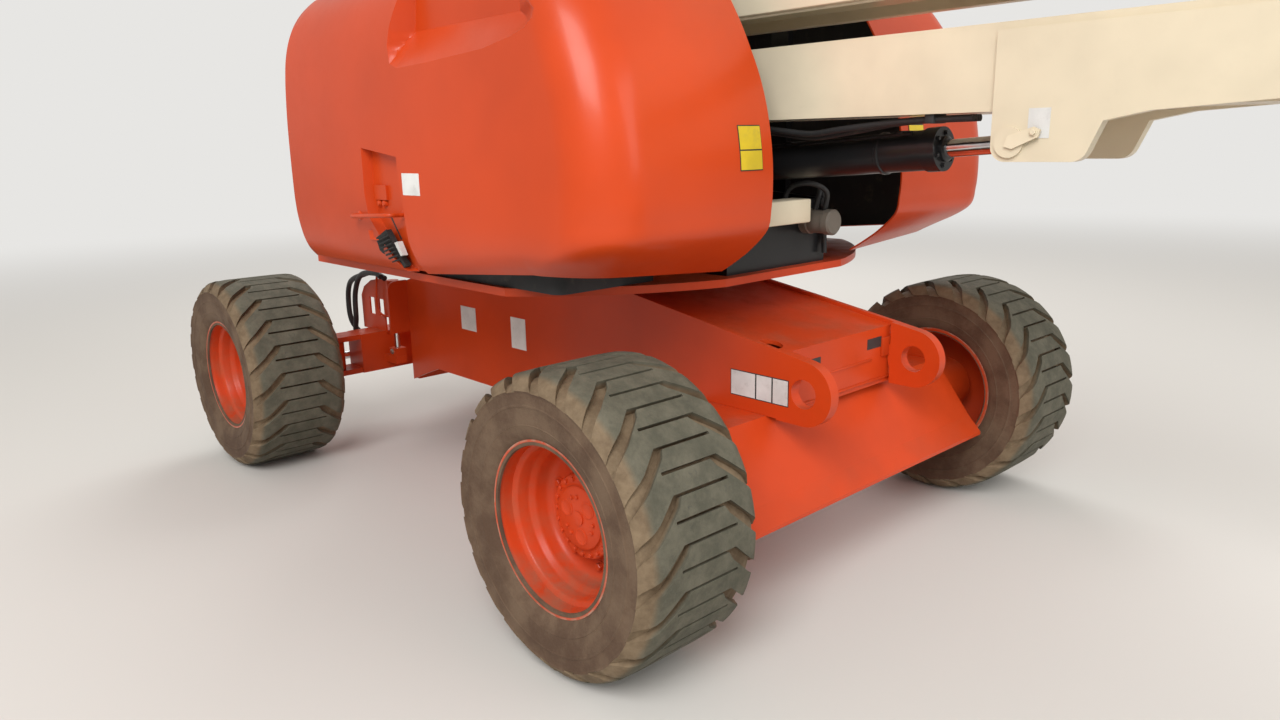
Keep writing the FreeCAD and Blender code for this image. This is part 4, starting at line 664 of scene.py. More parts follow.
# CAD nodes: for each finish, the edge roundings and the nodes that have them
NODE_FINISH = {
    "orange": {0.0035: "chassis_frame", 0.006: "drive_axle", 0.005: "steer_axle",
               0.003: "knuckle_left knuckle_right", 0.002: "lockout_cylinders", 0.012: "counterweight"},
    "black": {0.002: "steer_cylinder tower_cylinder_barrel lift_cylinder_barrel jib_cylinder_barrel",
              0.003: "turntable_frame platform_mount platform_bracket"},
    "chrome": {0.001: "steer_rod tower_cylinder_rod lift_cylinder_rod jib_cylinder_rod"},
    "cast": {0.002: "slewing_ring", 0.006: "engine_block"},
    "plastic": {0.004: "hydraulic_tank fuel_tank", 0.005: "control_console"},
    "cream": {0.006: "lower_riser upper_riser main_boom", 0.003: "jib_knuckle jib_link",
              0.004: "lower_link mid_upright upper_link upright fly_boom jib_arm"},
    "grey": {0.002: "platform_floor", 0.0: "platform_rails platform_gate"},
}
# A node's second finish, and which of its faces take it
SECOND_FINISH = {
    "turntable_frame": ("orange", lambda place, way: place.z < 0.973),
    "lockout_cylinders": ("chrome", lambda place, way: 0.442 < place.z < 0.519),
    "platform_floor": ("grip", lambda place, way: place.z < 0.5 and way.z > 0.9),
}


def finish_node(name, finish, edge):
    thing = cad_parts[name]
    thing.data.materials.clear()
    thing.data.materials.append(MATERIALS[finish])
    second, chosen = SECOND_FINISH.get(name, (None, lambda place, way: False))
    if second:
        thing.data.materials.append(MATERIALS[second])
    for face in thing.data.polygons:
        face.material_index = int(chosen(face.center, face.normal))
    if edge:
        soften(thing, edge)


def finish_nodes():
    for finish, edges in NODE_FINISH.items():
        for edge, names in edges.items():
            for name in names.split():
                finish_node(name, finish, edge)


# Hoods, drawn as the right one and counted from the swing centre

HOOD_INNER = 0.345
# Sections by height: (height, front end, side, tail radius)
HOOD_LEVELS = (
    (1.000, 1.075, 0.945, 1.08), (1.03, 1.125, 0.968, 1.103), (1.075, 1.19, 0.986, 1.121),
    (1.139, 1.255, 0.996, 1.134), (1.2, 1.268, 0.999, 1.139), (1.254, 1.272, 1.000, 1.14),
    (1.34, 1.27, 1.000, 1.14), (1.43, 1.258, 1.000, 1.139), (1.506, 1.241, 0.999, 1.137),
    (1.58, 1.216, 0.997, 1.133), (1.646, 1.186, 0.994, 1.128), (1.72, 1.149, 0.988, 1.118),
    (1.789, 1.108, 0.976, 1.098), (1.85, 1.07, 0.954, 1.066), (1.9, 1.036, 0.918, 1.02),
    (1.935, 1.006, 0.872, 0.968), (1.95, 0.972, 0.82, 0.915),
)
HOOD_CORNER = 0.165
LEAST_FRONT = 0.05
# The lower edge dips at the tail and rises to the front corner, and this fades out upwards
EDGE_ALONG = ((0.3, -0.012), (0.91, 0.04))
EDGE_FRONT = ((-0.93, 0.04), (-0.345, 0.000))
EDGE_FADE = 0.15
# The scoop, a wedge pressed into the side: its lower edge by X, its left and right edges by height
SCOOP_LOW = ((0.273, 1.647), (0.317, 1.631), (0.496, 1.636), (0.791, 1.65), (0.922, 1.67), (0.98, 1.684),
             (1.013, 1.707))
SCOOP_LEFT = ((1.647, 0.273), (1.7, 0.259), (1.745, 0.265), (1.831, 0.293), (1.906, 0.33))
SCOOP_RIGHT = ((1.684, 0.98), (1.707, 1.013), (1.728, 1.017), (1.749, 0.993), (1.8, 0.985), (1.906, 0.97))
SCOOP_BACK = 0.91
SCOOP_DEEP = 0.075
SCOOP_FOLD = 1.744
SCOOP_LEFT_WIDE = 0.034
SCOOP_RIGHT_WIDE = 0.14
SCOOP_BOX = ((0.25, 1.63), (1.02, 1.91))
# The latch recess: outline in X and height, depth, and how wide its sloping wall is
LATCH = ((0.042, 1.395), (0.278, 1.365), (0.279, 1.301), (0.3, 1.181), (0.301, 1.104), (0.338, 0.96),
         (0.25, 0.96), (0.185, 1.01), (0.123, 1.092), (0.051, 1.169), (0.039, 1.243))
LATCH_DEEP = 0.034
LATCH_WALL = 0.009
LATCH_BOX = ((0.03, 0.9), (0.35, 1.4))
# The skin's mesh: lengths for unrolling the side and the corner, and where its fine part starts
SIDE_LONG = 1.655
CORNER_LONG = 0.26
FINE_START = 1.3
HOOD_ROWS = ((1.000, 0.41, 51), (1.41, 0.2, 10), (1.61, 0.29, 36), (1.9, 0.05, 5))
FOLD_HEIGHTS = (SCOOP_FOLD, 1.77, 1.8, 1.831, 1.86, 1.885)
FOLD_STEP = 0.02
FOLD_CLEAR = 0.0028
FOLD_NEAR = 0.003
TOP_SHARES = (0.0, 0.02, 0.08, 0.25, 0.5, 0.75, 1.0)
TOP_ENDS = (-0.83, 0.93)
SKIN_GAP = 0.0002
SKIN_THICK = 0.006
SKIN_ANGLE = 26


@functools.lru_cache(maxsize=None)
def level(height):
    """Front end, side and tail radius of the hood at a height, on a smooth curve through the sections."""
    rows = HOOD_LEVELS
    height = max(rows[0][0], min(rows[-1][0], height))
    after = next(place for place in range(1, len(rows)) if height <= rows[place][0])
    first, last = rows[after - 1], rows[after]
    before, beyond = rows[max(after - 2, 0)], rows[min(after + 1, len(rows) - 1)]
    span = last[0] - first[0]
    t = (height - first[0]) / span
    values = []
    for column in (1, 2, 3):
        start = (last[column] - before[column]) / (last[0] - before[0]) * span
        end = (beyond[column] - first[column]) / (beyond[0] - first[0]) * span
        values.append((2 * t ** 3 - 3 * t ** 2 + 1) * first[column] + (t ** 3 - 2 * t ** 2 + t) * start
                      + (3 * t ** 2 - 2 * t ** 3) * last[column] + (t ** 3 - t ** 2) * end)
    return values


def side_ends(height):
    """The front corner's radius, and the X where the flat side starts and ends."""
    front, side, tail = level(height)
    corner = min(HOOD_CORNER, side - HOOD_INNER - LEAST_FRONT)
    return corner, -math.sqrt(tail ** 2 - side ** 2), front - corner


def line_distance(point, first, second):
    way = (second[0] - first[0], second[1] - first[1])
    size = way[0] ** 2 + way[1] ** 2
    t = max(0.0, min(1.0, ((point[0] - first[0]) * way[0] + (point[1] - first[1]) * way[1]) / size))
    return math.dist(point, (first[0] + way[0] * t, first[1] + way[1] * t))


def closed_pairs(outline):
    return zip(outline, outline[1:] + outline[:1])


def within(x, z, box):
    return box[0][0] < x < box[1][0] and box[0][1] < z < box[1][1]


def press(x, z):
    """How deep the side is pressed in at a place."""
    depth = 0.0
    if within(x, z, SCOOP_BOX):
        low, left, right = between(SCOOP_LOW, x), between(SCOOP_LEFT, z), between(SCOOP_RIGHT, z)
        depth = min(level(z)[1] - SCOOP_BACK, SCOOP_DEEP * (z - low) / (SCOOP_FOLD - low),
                    SCOOP_DEEP * (x - left) / SCOOP_LEFT_WIDE, SCOOP_DEEP * (right - x) / SCOOP_RIGHT_WIDE)
    elif within(x, z, LATCH_BOX) and inside((x, z), LATCH):
        far = min(line_distance((x, z), a, b) for a, b in closed_pairs(LATCH))
        depth = LATCH_DEEP * min(far / LATCH_WALL, 1.0)
    return max(0.0, depth)


def skin_point(place, height):
    """A point of the hood's skin: 0 to 1 along the tail's arc, to 2 along the side, to 3 round the corner
    and to 4 along the front."""
    front, side, tail = level(height)
    corner, start_x, end_x = side_ends(height)
    if place <= 1:
        start, meet = math.asin(HOOD_INNER / tail), math.asin(side / tail)
        angle = start + (meet - start) * place
        x, y = -tail * math.cos(angle), -tail * math.sin(angle)
    elif place <= 2:
        x, y = start_x + (end_x - start_x) * (place - 1), -side
    elif place <= 3:
        angle = math.pi / 2 * (place - 2)
        x, y = end_x + corner * math.sin(angle), -(side - corner) - corner * math.cos(angle)
    else:
        x, y = front, -(side - corner) + (side - corner - HOOD_INNER) * (place - 3)
    sunk = press(x, height) if 1 < place < 2.4 else 0.0
    lift = between(EDGE_ALONG, x) if place <= 2 else between(EDGE_FRONT, y)
    up = max(0.0, min(1.0, (height - HOOD_LEVELS[0][0]) / EDGE_FADE))
    return Vector((x, y + sunk, height + lift * (1 - up * up * (3 - 2 * up))))


def place_of(x, height):
    """Which place along the skin has this X."""
    corner, start_x, end_x = side_ends(height)
    if x <= end_x:
        return 1 + (x - start_x) / (end_x - start_x)
    return 2 + math.asin(min((x - end_x) / corner, 1.0)) * 2 / math.pi


def unrolled(place):
    return (place - 1) * SIDE_LONG if place <= 2 else SIDE_LONG + (place - 2) * CORNER_LONG


def rolled(along):
    return 1 + along / SIDE_LONG if along <= SIDE_LONG else 2 + (along - SIDE_LONG) / CORNER_LONG


def inset(outline, gap):
    """The outline moved inwards, corner by corner."""
    moved = []
    turn = sum(a[0] * b[1] - b[0] * a[1] for a, b in closed_pairs(outline))
    hand = 1 if turn > 0 else -1
    for place, here in enumerate(outline):
        here = Vector(here)
        one = (here - Vector(outline[place - 1])).normalized()
        two = (Vector(outline[(place + 1) % len(outline)]) - here).normalized()
        first, second = Vector((-one.y, one.x)) * hand, Vector((-two.y, two.x)) * hand
        middle = (first + second).normalized()
        moved.append(tuple(here + middle * gap / max(middle.dot(first), 0.5)))
    return tuple(moved)


def fold_lines():
    """Lines that the skin's mesh follows, each a row of (X, height)."""
    left, right = [], []
    for height in FOLD_HEIGHTS:
        share = (level(height)[1] - SCOOP_BACK) / SCOOP_DEEP
        left.append((between(SCOOP_LEFT, height) + SCOOP_LEFT_WIDE * share, height))
        right.append((between(SCOOP_RIGHT, height) - SCOOP_RIGHT_WIDE * share, height))
    yield [(x, z) for z, x in SCOOP_LEFT[::-1]] + list(SCOOP_LOW[1:]) + [(x, z) for z, x in SCOOP_RIGHT[2:5]]
    yield left[::-1] + right
    yield [SCOOP_LOW[0], left[0]]
    yield [SCOOP_LOW[-1], right[0]]
    for outline in (LATCH, inset(LATCH, LATCH_WALL)):
        yield list(outline) + [outline[0]]


def finer(line, step):
    """The same line with a point at least every step."""
    made = [line[0]]
    for first, second in zip(line, line[1:]):
        count = max(1, int(math.dist(first, second) / step))
        for number in range(1, count + 1):
            made.append(tuple(a + (b - a) * number / count for a, b in zip(first, second)))
    return made


def hood_mesh():
    """The right hood's outside as one skin, from its lower edge over the shoulder to the inner edge."""
    heights = [height for row in HOOD_ROWS for height in spread(*row)]
    heights.append(sum(HOOD_ROWS[-1][:2]))
    tail = spread(0, 1, 24, 1) + spread(1, FINE_START - 1, 10, 1)[1:]
    fine = spread(FINE_START, 2 - FINE_START, 140, 1) + spread(2, 1, 16, 1)[1:]
    front = spread(3, 1, 15, 1)
    bm = bmesh.new()
    for part in (tail, front):
        join_rows(bm, [[bm.verts.new(skin_point(place, height)) for place in part] for height in heights])
    # The side and the corner follow the folds of the scoop and the latch
    sheet = Sheet()
    pieces = []
    for line in fold_lines():
        fold = [(unrolled(place_of(x, max(z, heights[0]))), z) for x, z in finer(line, FOLD_STEP)]
        sheet.add_line(fold)
        pieces.extend(zip(fold, fold[1:]))
    begin, end = unrolled(FINE_START), unrolled(3)
    rim = [(unrolled(place), heights[0]) for place in fine] + [(end, height) for height in heights[1:]]
    rim += [(unrolled(place), heights[-1]) for place in fine[-2::-1]]
    rim += [(begin, height) for height in heights[-2:0:-1]]
    sheet.add_line(rim, True)
    for height in heights[1:-1]:
        near = [(a, b) for a, b in pieces
                if min(a[1], b[1]) - FOLD_NEAR < height < max(a[1], b[1]) + FOLD_NEAR]
        for place in fine[1:-1]:
            spot = (unrolled(place), height)
            if all(line_distance(spot, a, b) > FOLD_CLEAR for a, b in near):
                sheet.points.append(Vector(spot))
    verts, faces = sheet.cut((begin, heights[0]), (end, heights[-1]))
    made = {}
    for face, middle in faces:
        for number in face:
            if number not in made:
                made[number] = bm.verts.new(skin_point(rolled(verts[number].x), verts[number].y))
        bm.faces.new([made[number] for number in face])
    # The flat top runs in to the inner edge
    line = [skin_point(place, heights[-1]) for place in tail[:-1] + fine + front[1:]]
    inner = [Vector((max(min(spot.x, TOP_ENDS[1]), TOP_ENDS[0]), -HOOD_INNER, spot.z)) for spot in line]
    join_rows(bm, [[bm.verts.new(spot.lerp(goal, share)) for spot, goal in zip(line, inner)]
                   for share in TOP_SHARES])
    bmesh.ops.remove_doubles(bm, verts=bm.verts[:], dist=SKIN_GAP)
    bmesh.ops.translate(bm, vec=(SWING_X, 0, 0), verts=bm.verts[:])
    return mesh_of("hood_skin", bm)


def make_hoods():
    right = hood_mesh()
    for word, mesh in (("right", right), ("left", mirrored(right))):
        skin = shown("moulded_hood_" + word, finished(mesh, "hood", "plastic"), "hood_" + word)
        wall = skin.modifiers.new("wall", "SOLIDIFY")
        wall.thickness = SKIN_THICK
        wall.offset = -1
        wall.material_offset = 1
        add_creases(skin, SKIN_ANGLE)
        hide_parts("hood_" + word)


# Smaller pieces, drawn in place and counted from the swing centre on the ground

DETAIL_ANGLE = 35
NEAR_SKIN = 0.014


def add_detail(name, mesh, material, body):
    made = shown(name, finished(mesh, material), body, (SWING_X, 0, 0))
    add_creases(made, DETAIL_ANGLE)


def detail(name, material, body, *shapes):
    add_detail(name, drawn(name, shapes), material, body)


def both_sides(name, material, body, *shapes):
    """The same piece on the right and, mirrored, on the left; * in the body's name stands for the side."""
    right = drawn(name, shapes)
    for word, mesh in (("right", right), ("left", mirrored(right))):
        add_detail("%s_%s" % (name, word), mesh, material, body.replace("*", word))


def add_pad(bm, outline, thick, put, out=0.0):
    """A flat piece from its outline (along, up), set on a surface by put(along, up, out)."""
    front = [bm.verts.new(put(a, b, out + thick)) for a, b in outline]
    back = [bm.verts.new(put(a, b, out)) for a, b in outline]
    bm.faces.new(front)
    bm.faces.new(back[::-1])
    join_rows(bm, (front, back), True)


def pads(put, thick, *boxes, out=0.0):
    """Oblong pads, each from its low and high corners (along, up, along, up)."""
    return [(add_pad, ((a, b), (c, b), (c, d), (a, d)), thick, put, out) for a, b, c, d in boxes]


def on_hood(x, z, out):
    """A place on the right hood's side, out metres in front of it."""
    return skin_point(place_of(x, z), z) - Vector((0, out, 0))


def near_skin(x, z, out):
    """A place near the right hood's side as if nothing were pressed in, a little behind it."""
    return Vector((x, -level(z)[1] + NEAR_SKIN - out, z))


def on_nose(y, z, out):
    return Vector((level(z)[0] + out, y, z))


def on_plate(y):
    """Places on an upright face that looks along -Y."""
    return lambda a, b, out: Vector((a, y - out, b))


# The latch: pull handle's ends (X, height) and reach, rubber foot's outline and the ends of its ridges
HANDLE_ENDS = ((-0.01, 1.169), (0.238, 1.18))
HANDLE_OUT = 0.034
LATCH_SUNK = -0.004
FOOT = ((0.088, 1.097), (0.172, 1.13), (0.207, 1.077), (0.215, 1.038), (0.215, 1.012), (0.18, 0.996),
        (0.125, 1.001), (0.085, 1.054))
FOOT_OUT = 0.02
RIDGES = 7
RIDGE_LEFT = ((0.093, 1.086), (0.135, 1.004))
RIDGE_RIGHT = ((0.184, 1.112), (0.215, 1.02))


def make_latches():
    """What lies in the hood's latch recess: bracket, pull handle, slot, rubber foot and a small plate; the
    slot is a dark pad, standing for the black mechanism behind it and painting the shade in the opening.
    """
    screw = ((0.011, 0.0), (0.011, 0.01), (0.008, 0.016), (0.0, 0.017))
    both_sides("latch_bracket", "hood", "hood_*",
               *pads(on_hood, 0.014, (0.064, 1.224, 0.146, 1.272), out=LATCH_SUNK),
               *pads(on_hood, 0.012, (0.048, 1.094, 0.112, 1.122), out=LATCH_SUNK),
               *[(add_turned, screw, 14, on_hood(x, 1.212, -0.003), RIGHT) for x in (0.086, 0.124)])
    left, right = (on_hood(x, z, LATCH_SUNK) for x, z in HANDLE_ENDS)
    reach = left.y - HANDLE_OUT
    line = (left, (left.x, left.y - HANDLE_OUT * 0.7, left.z), (left.x + 0.02, reach, left.z),
            (right.x - 0.02, reach, right.z), (right.x, reach * 0.35 + right.y * 0.65, right.z), right)
    end = ((0.016, 0.0), (0.016, 0.006), (0.01, 0.01))
    both_sides("latch_handle", "hood", "hood_*", (add_hose, line, 0.0075),
               *[(add_turned, end, 16, spot, RIGHT) for spot in (left, right)])
    # The slot is not cut: a dark pad stands for the black mechanism behind it and paints the shade in the
    # opening
    slot = ((0.139, 1.172), (0.19, 1.097), (0.197, 1.101), (0.147, 1.177))
    both_sides("latch_slot_mechanism_and_shade", "ink_and_slot_shade", "hood_*", (add_pad, slot, 0.0012, on_hood))
    ridges = []
    for share in spread(0, 1, RIDGES):
        ends = (Vector(a).lerp(Vector(b), share) for a, b in (RIDGE_LEFT, RIDGE_RIGHT))
        ridges.append((add_tube, [near_skin(spot.x, spot.y, FOOT_OUT) for spot in ends], 0.0032, 8))
    both_sides("latch_foot", "ridge", "hood_*", (add_pad, FOOT, FOOT_OUT, near_skin), *ridges)
    plate = ((0.211, 1.088), (0.221, 1.044), (0.238, 1.048), (0.233, 1.094))
    both_sides("latch_plate", "label", "hood_*", (add_pad, plate, FOOT_OUT, near_skin))


# Blank labels: each a row of boxes (along, up, along, up), in bands where the surface curves
LABEL_THICK = 0.0012
HOOD_LABEL = (0.306, 1.247, 0.412, 1.315)
NOSE_LABEL = [(-0.487, low, -0.391, high)
              for low, high in ((1.312, 1.34), (1.34, 1.37), (1.37, 1.4), (1.4, 1.437))]
NOSE_PANELS = [(-0.484, low, -0.394, high)
               for low, high in ((1.315, 1.341), (1.341, 1.367), (1.371, 1.402), (1.402, 1.434))]
SIDE_LABEL = (1.096, 0.605, 1.328, 0.689)
SIDE_PANELS = [(low, 0.608, high, 0.686) for low, high in ((1.099, 1.197), (1.203, 1.262), (1.268, 1.325))]
FRAME_PLATES = ((-0.501, 0.599, -0.383, 0.704), (-0.118, 0.571, -0.016, 0.702))
RISER_LABEL = (1.924, 1.387, 1.978, 1.459)
SIDE_PLATE = -0.325
RISER_SIDE = -0.166


def make_labels():
    """Blank labels and plates, none with any words or signs."""
    side = on_plate(SIDE_PLATE)
    both_sides("hood_label", "label", "hood_*", *pads(on_hood, 0.0008, HOOD_LABEL))
    both_sides("hood_end_label", "ink_and_slot_shade", "hood_*", *pads(on_nose, LABEL_THICK, *NOSE_LABEL))
    both_sides("hood_end_label_panels", "yellow", "hood_*", *pads(on_nose, 2 * LABEL_THICK, *NOSE_PANELS))
    both_sides("side_label", "ink_and_slot_shade", "chassis", *pads(side, LABEL_THICK / 2, SIDE_LABEL))
    both_sides("side_label_panels", "label", "chassis", *pads(side, LABEL_THICK, *SIDE_PANELS))
    both_sides("frame_plates", "label", "chassis", *pads(side, LABEL_THICK, *FRAME_PLATES))
    both_sides("riser_label", "label", "lower_riser", *pads(on_plate(RISER_SIDE), 0.001, RISER_LABEL))


# The sloping deck's end wall, which looks along +X: its face and its two slots, which are dark pads of
# painted shade rather than openings
END_WALL = 1.28
END_SLOTS = ((-0.181, 0.686, -0.101, 0.717), (0.163, 0.692, 0.248, 0.729))
LOW_BEAD = ((1.282, -0.3, 0.578), (1.282, -0.1, 0.577), (1.282, 0.1, 0.579), (1.282, 0.318, 0.578))
THICK_BEAD = ((1.283, 0.322, 0.566), (1.284, 0.341, 0.567), (1.283, 0.352, 0.569))
SIDE_BEAD = ((0.303, 0.585), (0.304, 0.68), (0.303, 0.755))


def make_chassis_details():
    """Slots painted as dark pads of shade, welded tab and weld beads at the sloping deck's end wall."""
    detail("end_wall_beads", "orange", "chassis",
           (add_hose, LOW_BEAD, 0.0045, 26, 8, 0.3), (add_tube, THICK_BEAD, 0.011, 8, 0.35),
           *[(add_hose, [(1.281, side * y, z) for y, z in SIDE_BEAD], 0.004, 22, 8, 0.3)
             for side in (-1, 1)])
    detail("end_wall_tab", "orange", "chassis",
           (add_block, (1.279, 0.246, 0.656), (1.289, 0.319, 0.722), 0.003),
           (add_block, (1.279, -0.05, 0.651), (1.2835, 0.19, 0.658), 0.001))
    # The slots are not cut: dark pads paint the shade inside them
    detail("end_wall_slot_shade", "ink_and_slot_shade", "chassis",
           *pads(lambda a, b, out: Vector((END_WALL + out, a, b)), 0.0008, *END_SLOTS))


# Round the lockout cylinders at the steering end
LOCKOUT_PLATE = -0.381
BRACKET = (((-1.335, 0.505), (-1.1, 0.505), (-1.1, 0.585), (-1.335, 0.585)),
           ((-1.335, 0.67), (-1.055, 0.67), (-1.055, 0.765), (-1.12, 0.772), (-1.22, 0.755), (-1.3, 0.716)),
           ((-1.335, 0.585), (-1.25, 0.585), (-1.25, 0.67), (-1.335, 0.67)),
           ((-1.2, 0.585), (-1.155, 0.585), (-1.155, 0.67), (-1.2, 0.67)),
           ((-1.105, 0.585), (-1.055, 0.6), (-1.055, 0.67), (-1.105, 0.67)))
PIPE = ((-0.99, -0.41, 0.812), (-1.06, -0.41, 0.816), (-1.101, -0.41, 0.806), (-1.128, -0.41, 0.7),
        (-1.132, -0.408, 0.628), (-1.1, -0.4, 0.596), (-1.05, -0.385, 0.592))
LOCKOUT_HOSES = (
    ((-0.99, -0.45, 0.8), (-1.044, -0.45, 0.812), (-1.193, -0.45, 0.79), (-1.272, -0.45, 0.697),
     (-1.29, -0.45, 0.569), (-1.335, -0.43, 0.47), (-1.35, -0.33, 0.428), (-1.35, -0.19, 0.408)),
    ((-0.99, -0.43, 0.79), (-1.1, -0.43, 0.808), (-1.208, -0.43, 0.788), (-1.356, -0.43, 0.739),
     (-1.402, -0.43, 0.64), (-1.395, -0.42, 0.52), (-1.365, -0.35, 0.445), (-1.35, -0.15, 0.408)))
HOSE_RADIUS = 0.013
PIPE_RADIUS = 0.0055
FITTING = ((0.012, 0.0), (0.012, 0.014), (0.009, 0.018))


def make_steering_end():
    """Pipes, hoses and bolts round the lockout cylinders."""
    both_sides("lockout_bracket", "orange", "chassis",
               *[(add_pad, outline, 0.008, on_plate(LOCKOUT_PLATE)) for outline in BRACKET])
    both_sides("lockout_pipe", "orange", "chassis", (add_hose, PIPE, PIPE_RADIUS))
    both_sides("lockout_hoses", "hose", "chassis",
               *[(add_hose, line, HOSE_RADIUS, 10) for line in LOCKOUT_HOSES])
    both_sides("lockout_bolts", "zinc", "chassis",
               (add_bolt, (-1.03, -0.402, 0.424), RIGHT, 0.011, 0.009),
               *[(add_bolt, spot, (-1, 0, 0), 0.009, 0.008)
                 for spot in ((-0.996, -0.412, 0.56), (-0.996, -0.334, 0.7))],
               *[(add_turned, FITTING, 6, (-1.35, y, 0.404), UP) for y in (-0.19, -0.15)])


# The tower cylinder's barrel runs from its base to its eye; the hoses lie under the lower riser
TOWER_BASE = Vector((0.3, 0.0, 1.276))
TOWER_EYE = Vector((1.88, 0.0, 1.378))
TOWER_WAY = (TOWER_EYE - TOWER_BASE).normalized()
GLAND_FACE = 1.315
GLAND_RING = ((0.0585, 1.118), (0.0625, 1.121), (0.0625, 1.129), (0.0585, 1.132))
GLAND_COLLAR = ((0.036, 0.0), (0.036, 0.01), (0.03, 0.014), (0.0262, 0.014))
LINE_CLAMP = Vector((0.012, 0.056, 0.004))
KEEPER = ((1.872, 1.368), (1.893, 1.362), (1.957, 1.39), (1.962, 1.407), (1.945, 1.415), (1.88, 1.394))
# A riser hose as (X, height, share of the drop), and each hose's Y and drop
RISER_LINE = ((0.7, 1.442, 0), (0.95, 1.437, 1), (1.12, 1.418, 1), (1.24, 1.406, 1), (1.36, 1.418, 1),
              (1.56, 1.438, 0), (1.76, 1.442, 0))
RISER_HOSES = ((-0.088, 0.000), (-0.108, 0.006), (-0.126, -0.004))
MOTOR = ((0.03, 0.0), (0.044, 0.002), (0.044, 0.03), (0.04, 0.034), (0.04, 0.09), (0.044, 0.094),
         (0.044, 0.118), (0.038, 0.124), (0.0, 0.124))
MAST_FITTING = ((0.018, 0.0), (0.018, 0.03), (0.013, 0.036), (0.0, 0.036))
MAST_HOSES = (((1.06, 0.15, 1.16), (1.07, 0.158, 1.215), (1.035, 0.215, 1.228), (1.035, 0.235, 1.15),
               (1.04, 0.235, 1.000)),
              ((1.1, 0.15, 1.16), (1.11, 0.14, 1.222), (1.07, 0.09, 1.25), (1.01, 0.06, 1.225),
               (0.99, 0.06, 1.12)))


def on_tower(along, y=0.0, z=0.0):
    return TOWER_BASE + TOWER_WAY * along + Vector((0, y, z))


def make_tower_details():
    """The tower cylinder's gland and lines, the riser's keeper and hoses, and what sits on the mast."""
    face = on_tower(GLAND_FACE)
    turns = [Matrix.Rotation(math.radians(60 * number + 20), 3, TOWER_WAY) for number in range(6)]
    detail("tower_gland", "black", "tower_cylinder_barrel",
           (add_turned, GLAND_RING, 40, TOWER_BASE, TOWER_WAY),
           *[(add_bolt, face + turn @ Vector((0, 0.046, 0)), TOWER_WAY, 0.0065, 0.007) for turn in turns],
           (add_turned, GLAND_COLLAR, 32, face, TOWER_WAY))
    middles = [on_tower(along, 0, 0.056) for along in (0.3, 0.8, 1.2)]
    detail("tower_lines", "black", "tower_cylinder_barrel",
           *[(add_tube, [on_tower(along, side, 0.05) for along in (0.06, 0.5, 1.0, 1.24)], 0.006)
             for side in (-0.048, 0.048)],
           *[(add_block, middle - LINE_CLAMP, middle + LINE_CLAMP, 0.002) for middle in middles])
    both_sides("tower_pin_keeper", "cream", "lower_riser", (add_pad, KEEPER, 0.007, on_plate(-0.174)),
               (add_bolt, (1.945, -0.181, 1.402), RIGHT, 0.008, 0.007))
    detail("riser_hoses", "hose", "lower_riser",
           *[(add_hose, [(x, side, z - drop * share) for x, z, share in RISER_LINE], 0.0095)
             for side, drop in RISER_HOSES])
    detail("riser_hose_clamps", "plastic", "lower_riser",
           *[(add_block, (x - 0.014, -0.142, 1.43), (x + 0.014, -0.072, 1.456), 0.003)
             for x in (0.78, 1.64)])
    detail("mast_box", "cream", "turntable",
           (add_block, (1.016, -0.15, 1.122), (1.098, 0.076, 1.201), 0.006))
    detail("swing_motor", "motor", "turntable", (add_turned, MOTOR, 32, (1.017, 0.15, 1.118), AHEAD))
    detail("mast_fittings", "hose", "turntable",
           (add_turned, MAST_FITTING, 18, (1.018, 0.215, 1.178), AHEAD),
           *[(add_hose, line, 0.009) for line in MAST_HOSES])


# The jib's hoses run down from its top pin, given as (along the jib, height over it)
JIB_TOP = Vector((3.055, 0.0, 2.04))
JIB_ANGLE = math.radians(-61)
JIB_LINE = ((0.15, 0.046), (0.26, 0.06), (0.6, 0.058), (0.95, 0.058), (1.08, 0.05))
JIB_CLAMP = Vector((0.014, 0.04, 0.017))
OIL_CAP = ((0.045, 0.0), (0.045, 0.012), (0.036, 0.016), (0.036, 0.04), (0.03, 0.046), (0.0, 0.048))
FUEL_CAP = ((0.042, 0.0), (0.042, 0.01), (0.038, 0.012), (0.038, 0.034), (0.032, 0.038), (0.0, 0.038))


def make_boom_details():
    """Wear-pad bolts on the boom's collar, tank caps and the jib's hoses."""
    both_sides("collar_bolts", "zinc", "main_boom",
               *[(add_bolt, (x, -0.088, z), RIGHT, 0.008, 0.008)
                 for x in (2.715, 2.765) for z in (2.085, 2.215)])
    detail("tank_caps", "plastic", "turntable", (add_turned, OIL_CAP, 28, (-0.33, -0.66, 1.439), UP),
           (add_turned, FUEL_CAP, 28, (0.56, -0.66, 1.389), UP))
    down = Vector((math.cos(JIB_ANGLE), 0, math.sin(JIB_ANGLE)))
    out = Vector((-down.z, 0, down.x))

    def on_jib(along, height, y=0.0):
        return JIB_TOP + down * along + out * height + Vector((0, y, 0))

    detail("jib_hoses", "hose", "jib_arm",
           *[(add_hose, [on_jib(along, height, y) for along, height in JIB_LINE], 0.009)
             for y in (-0.022, 0.0, 0.022)])
    turn = Matrix((down, Vector(LEFT), out)).transposed()
    middles = [on_jib(along, 0.054) for along in (0.3, 0.64, 0.98)]
    detail("jib_hose_clamps", "plastic", "jib_arm",
           *[(add_block, middle - JIB_CLAMP, middle + JIB_CLAMP, 0.003, turn) for middle in middles])


